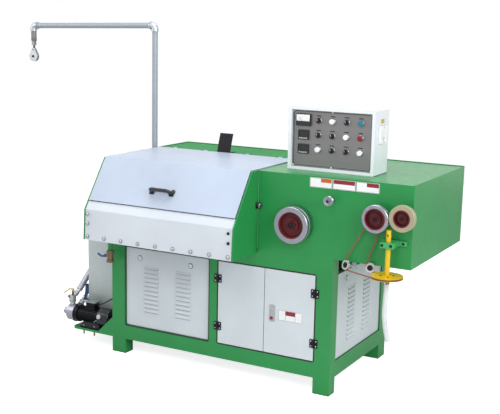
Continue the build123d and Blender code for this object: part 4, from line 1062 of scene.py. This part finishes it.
def buildMotorParts():
    m = motor
    y, z = m["y"], m["z"]
    scatter(addRound(*m["cowl"]), "fanCowl", [(m["cowlX"], y, z)], toRight, cowlSlate, angle=50)
    scatter(addRound(*m["grille"]), "fanGrille", [(m["grilleX"], y, z)], toRight, blackPlastic)
    scatter(addRound(*m["badge"]), "motorBadge", [m["badgeSpot"]], m["badgeTurn"], castAluminium)
    levels = ("footTop", "footUnder", "studTop")
    tops, unders, ends = ([(*foot, m[key]) for foot in m["feet"]] for key in levels)
    scatter(hexBolt(*m["footBolt"]), "footBolts", tops, upward, zincSteel)
    scatter(hexBolt(*m["footNut"]), "footNuts", unders, downward, zincSteel)
    scatter(panScrew(*m["lidScrew"]), "terminalScrews", m["lidSpots"], upward, brightSteel)
    # the lid's grey is a painted reflection on its top
    settle(addSlab(*m["lid"]), "terminalLid", lidReflectionGrey)
    settle(addSlab(*m["skirt"]), "motorSkirt", motorBlack)
    scatter(addRound(*m["stud"]), "footStuds", ends[:m["studs"]], downward, darkIron)
    scatter(panScrew(*m["dot"]), "casingScrews", m["dotSpots"], m["dotTurn"], brightSteel)
    spots = [(m["flangeX"], y + aside, z + rise) for aside, rise in ringOffsets(*m["flangeRing"])]
    scatter(hexBolt(*m["flangeBolt"]), "flangeBolts", spots, toLeft, zincSteel)


fittings = {  # the shape as addRound takes it, then spots, facing, finish and smoothing angle
    "deliveryUnion": (
        (20.962, 9.9, ((0, 1.08), (3.3, 1), (0, 0.93), (9.9, 1), (0, 1.07), (8.25, 1), (1.5, 0.93)), 8),
        [(-350, 70, 236)], upward, fittingSteel, 25),
    "pumpNeck": (
        (18.6, 6, ((0, 0.93), (13.5, 0.95), (0, 1.16), (8.1, 1.16), (1.2, 1.1)), 32),
        [(-350, 70, 206)], upward, fittingSteel, 35),
    "pipeUnionNut": (
        (18.8, 9.9, ((0, 0.9), (3.3, 1), (0, 1.1), (7.7, 1), (1.2, 0.94)), 8),
        [(-341, 79.5, 271.5)], (27, 28, 40), fittingSteel, 25),
    "pipeSleeve": (
        (18.5, 158, ((1.5, 0.94), (0, 0.85)), 32), [(-323.2, 99, 299)], (19, 134, 140), groundSteel, 35),
    "brassPlug": (
        (10.5, 9, ((1.5, 0.88), (0, 0.6), (3, 0.9)), 6), [(-360, 58, 262)], (-0.75, -0.66, 0), castBrass, 25),
    "suctionElbow": (
        (19, 6, ((1, 0.95), (0, 0.8), (11, 1), (0, 1.16), (3, 1.05), (10, 1), (4, 0.85)), 32),
        [(-323, 108, 203)], (-3, 38, 29), fittingSteel, 35),
    "drainNuts": (
        (20.832, 1.44, ((1.2, 1.075), (7.8, 1), (1.56, 0.93)), 8),
        [(31, -60, 552.5), (31, -60, 603.5)], upward, castBrass, 25),
    "headPortPlug": ((15, 1.5, ((0, 0.72), (-1.2, 0.9)), 32), [(-406, 70, 164)], toLeft, darkIron, 35),
    "cableGland": (
        (8, 9, ((0, 0.78), (12, 0.82)), 20, 0.8), [(-173.5, 78, 236)], toRight, blackRubber, 35),
    "cableGrommet": (
        (8.5, 2.4, ((0, 0.8), (1.6, 0.85)), 24, 0.6), [(7.8, 113, 304)], toLeft, blackRubber, 35),
}


def buildFittings():
    for name, (shape, spots, facing, finish, angle) in fittings.items():
        scatter(addRound(*shape), name, spots, facing, finish, angle=angle)


buildMotorParts()
buildFittings()
print("coolant unit finished")

block = {
    "cheek": 32, "axleFace": -13, "hub": (7.5, 1.5, ((1, 0.9),), 28),
    "rivet": (3.5, 0.8, ((0.8, 0.8),), 20), "rivetSpots": ((-5, -11, 46), (5, -11, 40)),
    "link": (4.6, 4.2), "linkEnds": (54, 70), "linkEdge": 1.2,
}


def buildPulleyTrim():
    b = block
    low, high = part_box("pulley_block")
    x, y, z = drawn(Vector(((low.x + high.x) / 2, (low.y + high.y) / 2, low.z)))
    z += b["cheek"]
    hub = addRound(*b["hub"])
    scatter(hub, "pulleyHub", [(x, y + b["axleFace"], z)], toFront, blackEnamel, "pulley_block")
    spots = [(x + aside, y + back, z + rise) for aside, back, rise in b["rivetSpots"]]
    scatter(addRound(*b["rivet"]), "pulleyRivets", spots, toFront, darkIron, "pulley_block")
    (wide, deep), (start, end) = b["link"], b["linkEnds"]
    link = addSlab((x - wide, y - deep, z + start), (x + wide, y + deep, z + end), b["linkEdge"])
    settle(link, "pulleyLink", blackEnamel, "pulley_block")


dropPipe = {
    "above": 13, "inside": 0.6,  # over the pulley block's top, and off the pipe's side
    "band": (17.6, 17, ((0.6, 0.985), (0, 0.96), (-17, 1)), 40),
    "sleeve": (17.2, 59, ((0, 0.975), (-59, 1)), 40),
}


def buildPipeBand():
    # the rusty end of the drop pipe, above its forked foot
    d = dropPipe
    low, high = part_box("guide_pipes")
    reach = (d["band"][0] - d["inside"]) / 1000
    x, y, z = drawn(Vector((low.x + reach, (low.y + high.y) / 2, 0)))
    spot = (x, y, drawn(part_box("pulley_block")[1])[2] + d["above"])
    scatter(addRound(*d["band"]), "pipeBand", [spot], upward, rustySteel)
    scatter(addRound(*d["sleeve"]), "dropSleeve", [spot], upward, dropSteel)


buildPulleyTrim()
buildPipeBand()
print("pulley finished")

studio = {
    "floor": 14, "floorColour": (0.86, 0.86, 0.86), "floorRough": 0.9, "floorShine": 0.1,
    "floorGlow": 0.78, "worldLight": 0.33, "white": (1, 1, 1, 1),
}
softboxes = [
    # name, place, target, size, power
    ("frontSoftbox", (1.6, -4.2, 3.8), (0.2, -0.2, 0.8), 2.6, 66),
    ("leftSoftbox", (-3.6, -2.2, 2.8), (-0.2, 0, 0.8), 2.4, 38),
    ("rightSoftbox", (4.2, -1.9, 2.5), (0.6, -0.3, 0.8), 2.2, 105),
    ("topSoftbox", (0, -0.6, 4.6), (0, -0.1, 0.8), 2.6, 84),
]


def buildFloor():
    freshStart()
    bpy.ops.mesh.primitive_plane_add(size=studio["floor"], location=(0, 0, floorZ))
    floor = bpy.context.active_object
    floor.name = "studioFloor"
    material, tree, shader = startMaterial("studioFloor")
    setInputs(shader, {"Base Color": (*studio["floorColour"], 1), "Emission Color": studio["white"],
                       "Roughness": studio["floorRough"], "Specular IOR Level": studio["floorShine"]})
    seen = addNode(tree, "LightPath").outputs["Is Camera Ray"]
    wire(tree, addMath(tree, "MULTIPLY", seen, studio["floorGlow"]), shader, "Emission Strength")
    floor.data.materials.append(material)


def buildLights():
    world = bpy.data.worlds.new("studioWorld")
    world.use_nodes = True
    bpy.context.scene.world = world
    tree = world.node_tree
    sky, rays = tree.nodes["Background"], addNode(tree, "LightPath").outputs
    seen = addMath(tree, "MAXIMUM", rays["Is Camera Ray"], rays["Is Glossy Ray"])
    wire(tree, addRange(tree, seen, 0, 1, (studio["worldLight"], 1)), sky, "Strength")
    setInputs(sky, {"Color": studio["white"]})
    for name, at, target, size, power in softboxes:
        lamp = bpy.data.lights.new(name, "AREA")
        lamp.shape = "SQUARE"
        lamp.size = size
        lamp.energy = power
        light = addObject(name, lamp)
        light.location = at
        light.rotation_euler = (Vector(target) - Vector(at)).to_track_quat("-Z", "Y").to_euler()


buildFloor()
buildLights()
bpy.context.scene.view_settings.view_transform = "Standard"
print("stage ready")
